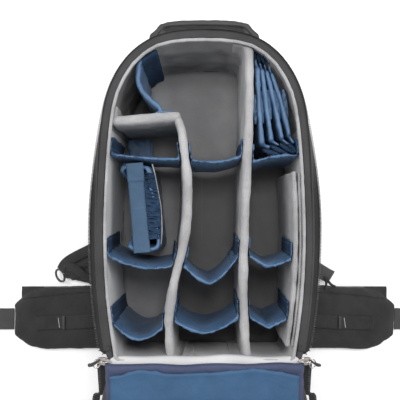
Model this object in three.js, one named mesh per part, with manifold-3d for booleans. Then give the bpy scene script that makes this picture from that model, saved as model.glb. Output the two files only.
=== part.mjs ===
// A large camera backpack, lying on its back with its lid unzipped and folded down past its foot.
// The compartment is lined and holds padded dividers; the harness and the hip belt lie beneath it.
// Millimetres. X runs across the bag, +Y towards its top handle, +Z up from the floor it lies on.
// The origin is on the floor, at the middle of the back pad's flat resting face.

import * as THREE from "three";
import Module from "manifold-3d";
import { mergeVertices } from "three/addons/utils/BufferGeometryUtils.js";

const wasm = await Module();
wasm.setup();

// Bag body
const RIM_WIDTH = 320;
const RIM_LENGTH = 488;
const COMPARTMENT_DEPTH = 165;
const FOOT_EXTRA = 8;
const FOOT_REACH = 14;
const FOOT_CORNER = 24;
const WALL = 11;
const WALL_SETBACK = 1;
const BELLY = 5;
const BACK_EDGE_RADIUS = 14;
const LINING = 2;
const SEAM_GAP = 0.4;
const BAND_THICKNESS = 2.4;
const PIPING_DIAMETER = 5;

// Zip round the arch of the rim, and the same again round the lid
const TAPE_THICKNESS = 1.2;
const TAPE_REACH = 7;
const COIL_WIDTH = 3.6;
const COIL_THICKNESS = 3.2;
const TAPE_DROOP_SIDE = 36;
const TAPE_DROOP_CROWN = 82;
const SLIDER_LENGTH = 13;
const SLIDER_WIDTH = 10;
const SLIDER_THICKNESS = 5;
const SLIDER_INWARD = 3.5;
const SLIDER_BELOW_END = 3.6;
const SLIDER_AHEAD = 2.6;
const RING_BELOW = 3.9;
const RING_DIAMETER = 13;
const RING_HEIGHT = 10.4;
const RING_WIRE = 2.1;
const PULL_OUT = 11.2;
const PULL_DOWN = 8.4;
const PULL_WIDTH = 6;

// Top handle
const HANDLE_SPAN = 168;
const HANDLE_REACH = 28;
const HANDLE_THICKNESS = 9;
const HANDLE_WIDTH = 30;
const HANDLE_DEPTH_BELOW_RIM = 92;
const HANDLE_PATCH = 26;
const HANDLE_SET_OFF = 0.8;
const HANDLE_SQUARENESS = 9;

// Lid
const LID_THICKNESS = 15;
const LID_MARGIN = 6;
const HINGE_OFFSET = 7;
const HINGE_THICKNESS = 2;
const LID_BORDER = 4;
const LID_BORDER_INSET = 7.5;
const LID_POCKET = 3;
const LID_POCKET_INSET = 16;
const LID_TIP = 4;
const LID_LINING_LAP = 19;

// Dividers, which stand on the lining
const LONG_DIVIDER = 13;
const SHELF_DIVIDER = 12;
const CROSS_DIVIDER = 5.5;
const SPARE_DIVIDER = 5;
const TAB = 2.4;
const TAB_LENGTH = 24;
const END_TAB_LENGTH = 17;
const BACK_TAB_WIDTH = 44;
const BACK_TAB_LENGTH = 40;
const BACK_TAB_PLACE = 0.32;
const DIVIDER_GAP = 0.8;
const LONG_DIVIDER_DROP = 6;
const CROSS_DIVIDER_DROP = 12;
const SIDE_PANEL_INNER = 7;
const SIDE_PANEL_OUTER = 4.5;
const SIDE_PANEL_SPACING = 1.6;

// Strap pocket standing in the left bay
const POCKET_DROP = 26;
const POCKET_WALL = 8;
const POCKET_ROUNDING = 12.8;
const POCKET_STRAP_WIDTH = 25;
const POCKET_STRAP = 2;

// Harness and hip belt
const HARNESS = 15;
const PAD_WIDTH = 80;
const LUMBAR_WIDTH = 296;
const LUMBAR_CORNER = 6;
const BELT_ABOVE_FOOT = 41;
const BELT_HEIGHT = 118;
const BELT_THICKNESS = 13;
const BELT_REACH = 344;
const BELT_TIP_HEIGHT = 58;
const BELT_TAPER = 58;
const RAIL_WIDTH = 24;
const RAIL_DROP = 8;
const RAIL_RISE = 5;
const RAIL_DIP = 2;
const WEBBING = 1.6;
const BELT_WEBBING_WIDTH = 38;
const BELT_WEBBING_LENGTH = 46;
const BUCKLE_LENGTH = 44;
const BUCKLE_THICKNESS = 11;
const BUCKLE_MARGIN = 5;
const BUCKLE_WALL = 3;
const PRONG = 7;
const BELT_END_DROP = 4;
const STRAP_WIDTH = 62;
const STRAP_END_WIDTH = 44;
const STRAP_WEBBING_WIDTH = 25;
const TAIL_LENGTH = 68;
const TAIL_DROOP = -4;
const STRAP_RING_WIRE = 3.4;
const STRAP_RING_LENGTH = 27;
const STRAP_RING_WIDTH = 17;

// Levels and insets that follow from the sizes above
const HALF_WIDTH = RIM_WIDTH / 2;
const HALF_LENGTH = RIM_LENGTH / 2;
const FOOT_Y = -HALF_LENGTH - FOOT_EXTRA;
const BACK_Z = HARNESS + SEAM_GAP;
const FLOOR_Z = BACK_Z + WALL + SEAM_GAP + LINING;
const RIM_Z = FLOOR_Z + COMPARTMENT_DEPTH;
const WALL_TOP_Z = RIM_Z - BAND_THICKNESS - SEAM_GAP;
const STAND_Z = FLOOR_Z + SEAM_GAP;
const WALL_IN = WALL_SETBACK + WALL;
const LINING_OUT = WALL_IN + SEAM_GAP;
const LINING_IN = LINING_OUT + LINING;
const PIPING_MID = LINING_OUT + PIPING_DIAMETER / 2;
const BAND_IN = PIPING_MID - PIPING_DIAMETER / 2 - SEAM_GAP;

// How finely the curves are cut
const ARCH_STEPS = 44;
const CORNER_STEPS = 4;
const PIPING_SIDES = 6;
const PAD_STEPS = 10;
const PATCH_STEPS = 4;
const STRAP_STEPS = 14;

// The right half of the rim's outline from the crown down to the foot corner,
// as shares of the half width and the half length.
const RIM_SHARES = [
  { across: 0.0, along: 1.0 },
  { across: 0.27, along: 0.991 },
  { across: 0.486, along: 0.956 },
  { across: 0.69, along: 0.858 },
  { across: 0.827, along: 0.727 },
  { across: 0.905, along: 0.596 },
  { across: 0.95, along: 0.412 },
  { across: 0.982, along: 0.134 },
  { across: 1.0, along: -0.223 },
  { across: 0.982, along: -0.549 },
  { across: 0.94, along: -0.8 },
  { across: 0.912, along: -0.92 },
];

// Where the long dividers run: x as a share of the half width at places down the bag, as shares of
// the half length. top is the upper edge, and base is the edge on the lining.
const LEFT_DIVIDER = [
  { along: 0.52, top: -0.228, base: -0.228 },
  { along: 0.3, top: -0.189, base: -0.215 },
  { along: 0.1, top: -0.152, base: -0.225 },
  { along: -0.095, top: -0.156, base: -0.235 },
  { along: -0.295, top: -0.193, base: -0.26 },
  { along: -0.487, top: -0.271, base: -0.3 },
  { along: -0.72, top: -0.331, base: -0.331 },
  { along: -0.85, top: -0.326, base: -0.325 },
  { along: -1.0, top: -0.3, base: -0.31 },
];
const RIGHT_DIVIDER = [
  { along: 1.0, top: 0.402, base: 0.4 },
  { along: 0.75, top: 0.414, base: 0.405 },
  { along: 0.48, top: 0.409, base: 0.4 },
  { along: 0.19, top: 0.391, base: 0.385 },
  { along: -0.185, top: 0.368, base: 0.365 },
  { along: -0.487, top: 0.359, base: 0.36 },
  { along: -0.72, top: 0.363, base: 0.365 },
  { along: -0.85, top: 0.375, base: 0.372 },
  { along: -1.0, top: 0.396, base: 0.385 },
];

// The blue cross dividers. along is the middle, rise lifts the right end above the left, and lean moves
// the base, all as shares of the half length; sag is a share of the bay's width, and vee says how
// sharply it folds, at the share bend across the bay.
const CROSS_DIVIDERS = [
  {
    name: "divider_left_upper",
    bay: "left",
    along: 0.246,
    rise: -0.03,
    lean: 0,
    sag: 0.02,
    vee: 0,
    bend: 0.5,
  },
  {
    name: "divider_left_middle",
    bay: "left",
    along: -0.385,
    rise: -0.064,
    lean: 0.03,
    sag: 0.1,
    vee: 0,
    bend: 0.5,
  },
  {
    name: "divider_left_lower",
    bay: "left",
    along: -0.781,
    rise: -0.02,
    lean: 0,
    sag: 0.26,
    vee: 0.1,
    bend: 0.5,
  },
  {
    name: "divider_middle_upper",
    bay: "middle",
    along: 0.238,
    rise: 0.022,
    lean: -0.02,
    sag: 0.07,
    vee: 0,
    bend: 0.5,
  },
  {
    name: "divider_middle_middle",
    bay: "middle",
    along: -0.391,
    rise: 0.052,
    lean: 0.03,
    sag: 0.4,
    vee: 0.4,
    bend: 0.5,
  },
  {
    name: "divider_middle_lower",
    bay: "middle",
    along: -0.742,
    rise: 0.018,
    lean: 0.02,
    sag: 0.2,
    vee: 0.2,
    bend: 0.5,
  },
  {
    name: "divider_right_upper",
    bay: "upper_right",
    along: 0.234,
    rise: 0.038,
    lean: -0.02,
    sag: -0.05,
    vee: 0,
    bend: 0.5,
  },
  {
    name: "divider_right_middle",
    bay: "right",
    along: -0.368,
    rise: -0.02,
    lean: 0.02,
    sag: 0.2,
    vee: 0.8,
    bend: 0.42,
  },
  {
    name: "divider_right_lower",
    bay: "right",
    along: -0.734,
    rise: -0.012,
    lean: 0.02,
    sag: 0.24,
    vee: 0.9,
    bend: 0.5,
  },
];

// The spare dividers, stored on edge and fanned out in the upper right bay. head and foot are the ends
// of each board and tip the end of its folded tab: x as a share of the half width, y of the half length.
const SPARE_DIVIDERS = [
  { head: [0.49, 0.785], middle: [0.505, 0.56], foot: [0.53, 0.325], tip: [0.6, 0.305] },
  { head: [0.534, 0.775], middle: [0.572, 0.56], foot: [0.618, 0.345], tip: [0.69, 0.318] },
  { head: [0.578, 0.765], middle: [0.648, 0.56], foot: [0.716, 0.358], tip: [0.782, 0.322] },
  { head: [0.62, 0.75], middle: [0.715, 0.56], foot: [0.784, 0.375], tip: [0.83, 0.327] },
];

// The corner divider in the upper left bay, from the arch to the shelf, as the same shares
const CORNER_DIVIDER = [
  { across: -0.605, along: 0.79 },
  { across: -0.615, along: 0.71 },
  { across: -0.575, along: 0.645 },
  { across: -0.5, along: 0.59 },
  { across: -0.425, along: 0.552 },
];
const CORNER_PAD = 7;
const CORNER_HEAD_ACROSS = -0.605;
const CORNER_FOOT_ACROSS = -0.29;

// Shoulder straps seen from above: shares of the half width and half length. Each ends a little above
// the hip belt.
const LEFT_STRAP = {
  run: [
    [-0.48, 0.8],
    [-0.58, 0.5],
    [-0.66, 0.18],
    [-0.72, -0.12],
    [-1.02, -0.35],
  ],
  end: { across: -1.55, aboveBelt: 22.7 },
};
const RIGHT_STRAP = {
  run: [
    [0.48, 0.8],
    [0.58, 0.5],
    [0.64, 0.16],
    [0.66, -0.14],
    [0.8, -0.35],
  ],
  end: { across: 1.04, aboveBelt: 44.6 },
};

const MATERIALS = {
  nylon: { color: 0x2e2e31, roughness: 0.8, metalness: 0 },
  band: { color: 0x4a4a4e, roughness: 0.85, metalness: 0 },
  zip: { color: 0x1d1d20, roughness: 0.6, metalness: 0 },
  grey_lining: { color: 0xa2a3a6, roughness: 0.95, metalness: 0 },
  grey_divider: { color: 0xb4b4b8, roughness: 0.95, metalness: 0 },
  blue_divider: { color: 0x3c5878, roughness: 0.7, metalness: 0 },
  blue_lid: { color: 0x40597d, roughness: 0.75, metalness: 0 },
  webbing: { color: 0x28282b, roughness: 0.75, metalness: 0 },
  mesh_pad: { color: 0x232326, roughness: 0.9, metalness: 0 },
  steel: { color: 0xc4c0bd, roughness: 0.3, metalness: 1 },
  black_plastic: { color: 0x17171a, roughness: 0.45, metalness: 0 },
};

const backpack = new THREE.Group();

function addMesh(name, geometry, material) {
  const mesh = new THREE.Mesh(geometry, new THREE.MeshStandardMaterial(MATERIALS[material]));
  mesh.name = name;
  backpack.add(mesh);
  return mesh;
}

const lerp = THREE.MathUtils.lerp;
const smoothstep = THREE.MathUtils.smoothstep;

function geometryOf(points, faces) {
  const geometry = new THREE.BufferGeometry().setFromPoints(points);
  const outward = signedVolume(points, faces) < 0 ? faces.map(([a, b, c]) => [a, c, b]) : faces;
  geometry.setIndex(outward.flat());
  return geometry;
}

function signedVolume(points, faces) {
  return faces.reduce((sum, [a, b, c]) => {
    const cross = new THREE.Vector3().crossVectors(points[b], points[c]);
    return sum + points[a].dot(cross) / 6;
  }, 0);
}

// The triangles that close a loop, turning the same way round as the loop does
function capFaces(loop, first) {
  const normal = new THREE.Vector3();
  loop.forEach((p, i) => normal.add(new THREE.Vector3().crossVectors(p, loop[(i + 1) % loop.length])));
  const u = loop[1].clone().sub(loop[0]).normalize();
  const v = new THREE.Vector3().crossVectors(normal.normalize(), u);
  const flat = loop.map((p) => new THREE.Vector2(p.dot(u), p.dot(v)));
  return THREE.ShapeUtils.triangulateShape(flat, []).map(([a, b, c]) => {
    const ab = flat[b].clone().sub(flat[a]);
    const ac = flat[c].clone().sub(flat[a]);
    const turned = ab.cross(ac) < 0 ? [a, c, b] : [a, b, c];
    return turned.map((i) => i + first);
  });
}

// A solid skinned over loops that all have the same number of points. A ring joins the last loop to the
// first, a domed end fans out from the loop's middle, and any other end is closed flat.
function loft(loops, { ring = false, domed = false } = {}) {
  const size = loops[0].length;
  const points = loops.flat().map((p) => p.clone());
  const faces = [];
  const bands = ring ? loops.length : loops.length - 1;
  for (let k = 0; k < bands; k++) {
    const low = k * size;
    const high = ((k + 1) % loops.length) * size;
    for (let i = 0; i < size; i++) {
      const j = (i + 1) % size;
      faces.push([low + i, low + j, high + j], [low + i, high + j, high + i]);
    }
  }
  const ends = ring ? [] : [0, loops.length - 1];
  for (const end of ends) {
    const first = end * size;
    let cap = [];
    if (domed) {
      const middle = loops[end].reduce((sum, p) => sum.add(p), new THREE.Vector3()).divideScalar(size);
      points.push(middle);
      cap = loops[end].map((_, i) => [first + i, first + ((i + 1) % size), points.length - 1]);
    } else {
      cap = capFaces(loops[end], first);
    }
    faces.push(...(end === 0 ? cap.map(([a, b, c]) => [a, c, b]) : cap));
  }
  return geometryOf(points, faces);
}

// An upright ribbon, seen from above as two matching sides, raised through levels of { a, b, z }
function ribbon(levels) {
  const size = levels[0].a.length;
  const loops = levels.map(({ a, b, z }) =>
    [...a, ...[...b].reverse()].map((p) => new THREE.Vector3(p.x, p.y, z)),
  );
  const ringSize = size * 2;
  const points = loops.flat();
  const faces = [];
  for (let k = 0; k + 1 < loops.length; k++) {
    for (let i = 0; i < ringSize; i++) {
      const j = (i + 1) % ringSize;
      const low = k * ringSize;
      const high = low + ringSize;
      faces.push([low + i, low + j, high + j], [low + i, high + j, high + i]);
    }
  }
  const top = (loops.length - 1) * ringSize;
  for (let i = 0; i + 1 < size; i++) {
    const [a, b, c, d] = [i, i + 1, ringSize - 2 - i, ringSize - 1 - i];
    faces.push([a, c, b], [a, d, c], [top + a, top + b, top + c], [top + a, top + c, top + d]);
  }
  return geometryOf(points, faces);
}

// Both sides of a ribbon drawn in towards its middle line, by a share of its thickness
function drawnIn({ a, b }, share) {
  const move = (from, to) => from.map((p, i) => p.clone().lerp(to[i], share));
  return { a: move(a, b), b: move(b, a) };
}

// The two sides of a path of given thickness, which may change along it
function sidesOf(path, thickness) {
  const a = [];
  const b = [];
  path.forEach((p, i) => {
    const before = path[Math.max(i - 1, 0)];
    const after = path[Math.min(i + 1, path.length - 1)];
    const tangent = after.clone().sub(before).normalize();
    const half = (typeof thickness === "function" ? thickness(i / (path.length - 1)) : thickness) / 2;
    const normal = new THREE.Vector2(-tangent.y, tangent.x).multiplyScalar(half);
    a.push(p.clone().add(normal));
    b.push(p.clone().sub(normal));
  });
  return { a, b };
}

// A flat padded strip lying between two heights, with its long edges rounded over by soft
function layFlat(sides, low, high, soft = 0) {
  const share = 0.5 * soft;
  const edge = soft * (high - low);
  if (!soft) return ribbon([{ ...sides, z: low }, { ...sides, z: high }]);
  return ribbon([
    { ...drawnIn(sides, share * 0.1), z: low },
    { ...sides, z: low + edge },
    { ...sides, z: high - edge },
    { ...drawnIn(sides, share * 0.1), z: high },
  ]);
}

function toSolid(geometry) {
  const clean = geometry.clone();
  clean.deleteAttribute("normal");
  clean.deleteAttribute("uv");
  const merged = mergeVertices(clean, 1e-3);
  const numbers = new Float32Array(merged.attributes.position.array);
  const triangles = new Uint32Array(merged.index.array);
  return new wasm.Manifold(new wasm.Mesh({ numProp: 3, vertProperties: numbers, triVerts: triangles }));
}

function toGeometry(solid) {
  const mesh = solid.getMesh();
  const geometry = new THREE.BufferGeometry();
  geometry.setAttribute("position", new THREE.BufferAttribute(new Float32Array(mesh.vertProperties), 3));
  geometry.setIndex(new THREE.BufferAttribute(new Uint32Array(mesh.triVerts), 1));
  return geometry;
}

function join(...geometries) {
  return toGeometry(geometries.map(toSolid).reduce((sum, solid) => sum.add(solid)));
}

function cut(geometry, ...tools) {
  return toGeometry(tools.map(toSolid).reduce((left, tool) => left.subtract(tool), toSolid(geometry)));
}

// Outline of the rim

// The arch from the right foot corner over the crown to the left one, then the foot, anticlockwise
function rimOutline() {
  const right = RIM_SHARES.map((s) => new THREE.Vector2(s.across * HALF_WIDTH, s.along * HALF_LENGTH));
  const left = right.slice(1).map((p) => new THREE.Vector2(-p.x, p.y));
  const arch = new THREE.SplineCurve([...right.reverse(), ...left]).getSpacedPoints(ARCH_STEPS);
  const end = arch[arch.length - 1];
  const knee = new THREE.Vector2(end.x + (HALF_WIDTH + end.x) * 0.1, FOOT_Y);
  const toe = new THREE.Vector2(end.x + FOOT_CORNER, FOOT_Y);
  const corner = new THREE.QuadraticBezierCurve(end, knee, toe).getPoints(CORNER_STEPS).slice(1);
  const mirrored = corner.map((p) => new THREE.Vector2(-p.x, p.y)).reverse();
  return [...arch, ...corner, ...mirrored];
}
const OUTLINE = rimOutline();

const OUTWARD = OUTLINE.map((_, i) => {
  const before = OUTLINE[(i + OUTLINE.length - 1) % OUTLINE.length];
  const after = OUTLINE[(i + 1) % OUTLINE.length];
  const tangent = after.clone().sub(before).normalize();
  return new THREE.Vector2(tangent.y, -tangent.x);
});

// The walls lean out at the foot: this is how far a point of the rim's outline has moved at height z
function footShift(y, z) {
  const depth = (RIM_Z - z) / COMPARTMENT_DEPTH;
  return (-FOOT_REACH * depth * (HALF_LENGTH - y)) / RIM_LENGTH;
}

// The outline moved in by inset, at height z
function outlineAt(inset, z) {
  return OUTLINE.map((p, i) => {
    const moved = p.clone().addScaledVector(OUTWARD[i], -inset);
    return new THREE.Vector3(moved.x, moved.y + footShift(moved.y, z), z);
  });
}

// Where the inset outline crosses a line across the bag (axis "y") or along it (axis "x")
function crossing(inset, z, axis, value, side) {
  const other = axis === "y" ? "x" : "y";
  const loop = outlineAt(inset, z);
  const hits = [];
  loop.forEach((p, i) => {
    const q = loop[(i + 1) % loop.length];
    if ((p[axis] - value) * (q[axis] - value) > 0 || p[axis] === q[axis]) return;
    hits.push(lerp(p[other], q[other], (value - p[axis]) / (q[axis] - p[axis])));
  });
  return side > 0 ? Math.max(...hits) : Math.min(...hits);
}

const wallX = (side, y, z) => crossing(LINING_IN, z, "y", y, side);
const wallY = (side, x, z) => crossing(LINING_IN, z, "x", x, side);

// Shell, lining and rim

function buildShell() {
  const rounded = [0, 1, 2, 3].map((step) => {
    const angle = (step / 3) * (Math.PI / 2);
    const inset = WALL_SETBACK + BACK_EDGE_RADIUS * (1 - Math.sin(angle));
    return outlineAt(inset, BACK_Z + BACK_EDGE_RADIUS * (1 - Math.cos(angle)));
  });
  const sideLow = BACK_Z + BACK_EDGE_RADIUS;
  const bulged = [0.3, 0.55, 0.8].map((share) =>
    outlineAt(WALL_SETBACK - BELLY * Math.sin(Math.PI * share), lerp(sideLow, WALL_TOP_Z, share)),
  );
  const rim = [outlineAt(WALL_SETBACK, WALL_TOP_Z), outlineAt(WALL_IN, WALL_TOP_Z)];
  const well = outlineAt(WALL_IN, BACK_Z + WALL);
  return loft([...rounded, ...bulged, ...rim, well], { domed: true });
}

function buildLining() {
  const top = RIM_Z - PIPING_DIAMETER - SEAM_GAP;
  return loft(
    [
      outlineAt(LINING_OUT, FLOOR_Z - LINING),
      outlineAt(LINING_OUT, top),
      outlineAt(LINING_IN, top),
      outlineAt(LINING_IN, FLOOR_Z),
    ],
    { domed: true },
  );
}

// A section carried round the outline. place(i) gives the section's points at outline point i.
function carried(indices, place, options) {
  return loft(indices.map(place), options);
}

const ARCH = OUTLINE.map((_, i) => i).slice(0, ARCH_STEPS + 1);
const ALL_ROUND = OUTLINE.map((_, i) => i);

function rimPoint(i, outset, z) {
  const p = OUTLINE[i].clone().addScaledVector(OUTWARD[i], outset);
  return new THREE.Vector3(p.x, p.y + footShift(p.y, z), z);
}

function buildBand() {
  const low = RIM_Z - BAND_THICKNESS;
  const crown = BAND_THICKNESS * 0.35;
  return carried(ARCH, (i) => [
    rimPoint(i, 0, low),
    rimPoint(i, 0, RIM_Z - crown),
    rimPoint(i, -BAND_IN / 2, RIM_Z),
    rimPoint(i, -BAND_IN, RIM_Z - crown),
    rimPoint(i, -BAND_IN, low),
  ]);
}

function buildPiping() {
  const radius = PIPING_DIAMETER / 2;
  const place = (i) =>
    Array.from({ length: PIPING_SIDES }, (_, k) => {
      const angle = ((k + 0.5) / PIPING_SIDES) * Math.PI * 2;
      return rimPoint(i, -PIPING_MID + radius * Math.cos(angle), RIM_Z - radius + radius * Math.sin(angle));
    });
  return carried(ALL_ROUND, place, { ring: true });
}

// How far the tape's free edge is folded down: it stands out at the sides and hangs at the crown
function tapeDroop(i) {
  const share = OUTLINE[i].y / HALF_LENGTH;
  return THREE.MathUtils.degToRad(lerp(TAPE_DROOP_SIDE, TAPE_DROOP_CROWN, smoothstep(share, -0.15, 0.6)));
}

// The zip's section: a flat tape with the coil standing on its free edge, { out, up } from its root
const ZIP_SECTION = [
  [0, 0],
  [TAPE_REACH + COIL_WIDTH, 0],
  [TAPE_REACH + COIL_WIDTH, COIL_THICKNESS],
  [TAPE_REACH, COIL_THICKNESS],
  [TAPE_REACH, TAPE_THICKNESS],
  [0, TAPE_THICKNESS],
];

function buildBodyZip() {
  const root = RIM_Z - BAND_THICKNESS;
  return carried(ARCH, (i) => {
    const droop = tapeDroop(i);
    return ZIP_SECTION.map(([out, up]) =>
      rimPoint(
        i,
        SEAM_GAP + out * Math.cos(droop) + up * Math.sin(droop),
        root - out * Math.sin(droop) + up * Math.cos(droop),
      ),
    );
  });
}

addMesh("shell", buildShell(), "nylon");
addMesh("lining", buildLining(), "grey_lining");
addMesh("rim_band", buildBand(), "band");
addMesh("rim_piping", buildPiping(), "grey_divider");
addMesh("zip_body", buildBodyZip(), "zip");

// Zip sliders, parked at the foot corners, with a ring and a cloth pull each

function buildSlider(side) {
  const index = side > 0 ? 0 : ARCH_STEPS;
  const anchor = rimPoint(index, SEAM_GAP + TAPE_REACH + COIL_WIDTH / 2, RIM_Z);
  anchor.x -= side * SLIDER_INWARD;
  anchor.y -= SLIDER_BELOW_END;
  const name = side > 0 ? "right" : "left";
  const low = RIM_Z - SLIDER_THICKNESS - BAND_THICKNESS;
  const spine = [
    new THREE.Vector2(anchor.x, anchor.y + SLIDER_AHEAD),
    new THREE.Vector2(anchor.x, anchor.y + SLIDER_AHEAD - SLIDER_LENGTH),
  ];
  const body = layFlat(sidesOf(spine, SLIDER_WIDTH), low, low + SLIDER_THICKNESS, 0.3);
  addMesh(`slider_${name}`, body, "steel");
  const ringY = anchor.y - RING_BELOW;
  const ringZ = low + SLIDER_THICKNESS + SEAM_GAP;
  const ring = flatRing(anchor.x, ringY, RING_DIAMETER, RING_HEIGHT, RING_WIRE, ringZ + RING_WIRE / 2, 0);
  addMesh(`slider_ring_${name}`, ring, "steel");
  const pullX = anchor.x + side * (RING_DIAMETER / 2 + SEAM_GAP + RING_WIRE / 2);
  const start = new THREE.Vector2(pullX, ringY);
  const end = start.clone().add(new THREE.Vector2(side * PULL_OUT, -PULL_DOWN));
  const pull = layFlat(sidesOf([start, end], PULL_WIDTH), ringZ - RING_WIRE, ringZ + RING_WIRE, 0.3);
  addMesh(`slider_pull_${name}`, pull, "webbing");
}

// A closed ring of round wire lying flat, turned by an angle about its middle
function flatRing(x, y, length, width, wire, z, turn) {
  const steps = 16;
  const sides = 6;
  const loops = Array.from({ length: steps }, (_, k) => {
    const angle = (k / steps) * Math.PI * 2;
    const outward = new THREE.Vector2(Math.cos(angle), Math.sin(angle));
    const middle = new THREE.Vector2(
      (outward.x * (length - wire)) / 2,
      (outward.y * (width - wire)) / 2,
    );
    return Array.from({ length: sides }, (_, m) => {
      const around = ((m + 0.5) / sides) * Math.PI * 2;
      const reach = (wire / 2) * Math.cos(around);
      const flat = middle.clone().addScaledVector(outward, reach).rotateAround(new THREE.Vector2(), turn);
      return new THREE.Vector3(x + flat.x, y + flat.y, z + (wire / 2) * Math.sin(around));
    });
  });
  return loft(loops, { ring: true });
}

buildSlider(1);
buildSlider(-1);

// Top handle: a padded strap bowed out from the crown wall between two stitched patches

function buildHandle() {
  const z = RIM_Z - HANDLE_DEPTH_BELOW_RIM;
  const half = HANDLE_SPAN / 2;
  const wallAt = (x) => crossing(WALL_SETBACK - BELLY, z, "x", x, 1) + HANDLE_SET_OFF;
  const path = [];
  for (let k = 0; k <= PAD_STEPS; k++) {
    const u = Math.sin(((k / PAD_STEPS) * 2 - 1) * (Math.PI / 2));
    const bow = Math.sqrt(1 - Math.abs(u) ** HANDLE_SQUARENESS);
    const y = lerp(wallAt(u * half), wallAt(0) + HANDLE_REACH, bow);
    path.push(new THREE.Vector2(u * half, y + HANDLE_THICKNESS / 2));
  }
  const [low, high] = [z - HANDLE_WIDTH / 2, z + HANDLE_WIDTH / 2];
  const grip = layFlat(sidesOf(path, HANDLE_THICKNESS), low, high, 0.25);
  const patches = [-1, 1].map((side) => {
    const from = side * (half - HANDLE_THICKNESS);
    const step = (side * HANDLE_PATCH) / PATCH_STEPS;
    const steps = Array.from({ length: PATCH_STEPS + 1 }, (_, k) => from + step * k);
    const near = steps.map((x) => new THREE.Vector2(x, wallAt(x)));
    const far = steps.map((x) => new THREE.Vector2(x, wallAt(x) + TAB * 1.5));
    return ribbon([
      { a: near, b: far, z: low },
      { a: near, b: far, z: high },
    ]);
  });
  return join(grip, ...patches);
}

addMesh("top_handle", buildHandle(), "webbing");

// Lid, hinged along the foot of the rim and hanging down to the floor

const LID_LENGTH = HALF_LENGTH - FOOT_Y + LID_MARGIN * 1.5;
const LID_ROOT = new THREE.Vector2(FOOT_Y - HINGE_OFFSET, RIM_Z);

// The lid bends down from level at the hinge and comes level again on the floor, in an S
function lidDrop(steepest) {
  const steps = 60;
  let drop = 0;
  for (let k = 0; k < steps; k++) {
    drop += (Math.sin(steepest * Math.sin((Math.PI * (k + 0.5)) / steps)) * LID_LENGTH) / steps;
  }
  return drop;
}

function solveSteepest() {
  let low = 0;
  let high = Math.PI / 2;
  for (let k = 0; k < 40; k++) {
    const middle = (low + high) / 2;
    if (lidDrop(middle) < RIM_Z - LID_THICKNESS) low = middle;
    else high = middle;
  }
  return low;
}
const LID_STEEPEST = solveSteepest();

// A point of the lid: across the bag, down the lid from the hinge, and above its inner face
function lidPoint(across, down, above) {
  const steps = 48;
  const spot = LID_ROOT.clone();
  const held = Math.max(down, 0);
  for (let k = 0; k < steps; k++) {
    const s = ((k + 0.5) / steps) * held;
    const angle = LID_STEEPEST * Math.sin((Math.PI * Math.min(s, LID_LENGTH)) / LID_LENGTH);
    spot.x -= (Math.cos(angle) * held) / steps;
    spot.y -= (Math.sin(angle) * held) / steps;
  }
  const slope = LID_STEEPEST * Math.sin((Math.PI * Math.min(held, LID_LENGTH)) / LID_LENGTH);
  spot.x -= Math.min(down, 0);
  return new THREE.Vector3(across, spot.x - Math.sin(slope) * above, spot.y + Math.cos(slope) * above);
}

// The lid's outline is the rim's, moved out by the margin. down is 0 at the hinge.
const lidDown = (y) => y - FOOT_Y + LID_MARGIN * 0.5;
const lidEdge = (inset) => OUTLINE.map((p, i) => p.clone().addScaledVector(OUTWARD[i], LID_MARGIN - inset));

// Half the lid's width at a distance down from the hinge, with its outline moved in by inset
function lidHalfWidth(down, inset) {
  const edge = lidEdge(inset).slice(0, ARCH_STEPS / 2 + 1);
  const y = Math.max(down - lidDown(0), edge[0].y);
  const k = edge.findIndex((p) => p.y >= y);
  if (k < 0) return LID_TIP;
  if (k === 0) return edge[0].x;
  const [p, q] = [edge[k - 1], edge[k]];
  return Math.max(lerp(p.x, q.x, (y - p.y) / (q.y - p.y)), LID_TIP);
}

// Distances down the lid shared by all its layers
const LID_STATIONS = [
  -LID_LINING_LAP,
  0,
  ...lidEdge(0).slice(0, ARCH_STEPS / 2 + 1).map((p) => lidDown(p.y)),
  LID_LENGTH - LID_BORDER_INSET,
  LID_LENGTH - LID_POCKET_INSET,
].sort((p, q) => p - q);

// A panel of the lid between two heights above its inner face, with its edges drawn in by soft
function lidPanel(from, inset, low, high, soft) {
  const to = LID_LENGTH - inset;
  const rows = LID_STATIONS.filter((down) => down >= from && down <= to).map((down) => {
    const half = lidHalfWidth(down, inset);
    const lowSoft = Math.min(soft.low, half * 0.6);
    const highSoft = Math.min(soft.high, half * 0.6);
    const middle = (low + high) / 2;
    return [
      lidPoint(half - lowSoft, down, low),
      lidPoint(half, down, middle),
      lidPoint(half - highSoft, down, high),
      lidPoint(-half + highSoft, down, high),
      lidPoint(-half, down, middle),
      lidPoint(-half + lowSoft, down, low),
    ];
  });
  return loft(rows);
}

function buildLidHinge() {
  const half = OUTLINE[0].x - FOOT_CORNER * 0.7;
  const top = RIM_Z - SEAM_GAP;
  const near = FOOT_Y + BAND_IN - SEAM_GAP;
  const far = LID_ROOT.x + SEAM_GAP;
  const side = (x) => [new THREE.Vector2(x, near), new THREE.Vector2(x, far)];
  const low = top - HINGE_THICKNESS;
  return ribbon([{ a: side(-half), b: side(half), z: low }, { a: side(-half), b: side(half), z: top }]);
}

function buildLidZip() {
  const steps = ARCH_STEPS;
  const rows = [];
  for (let k = 0; k <= steps; k++) {
    const outline = OUTLINE[k];
    const outward = OUTWARD[k];
    rows.push(
      ZIP_SECTION.map(([out, up]) => {
        const reach = LID_MARGIN + SEAM_GAP + out;
        const across = outline.x + outward.x * reach;
        const down = lidDown(outline.y + outward.y * reach);
        return lidPoint(across, down, up - LID_THICKNESS * 0.4);
      }),
    );
  }
  return loft(rows);
}

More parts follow.
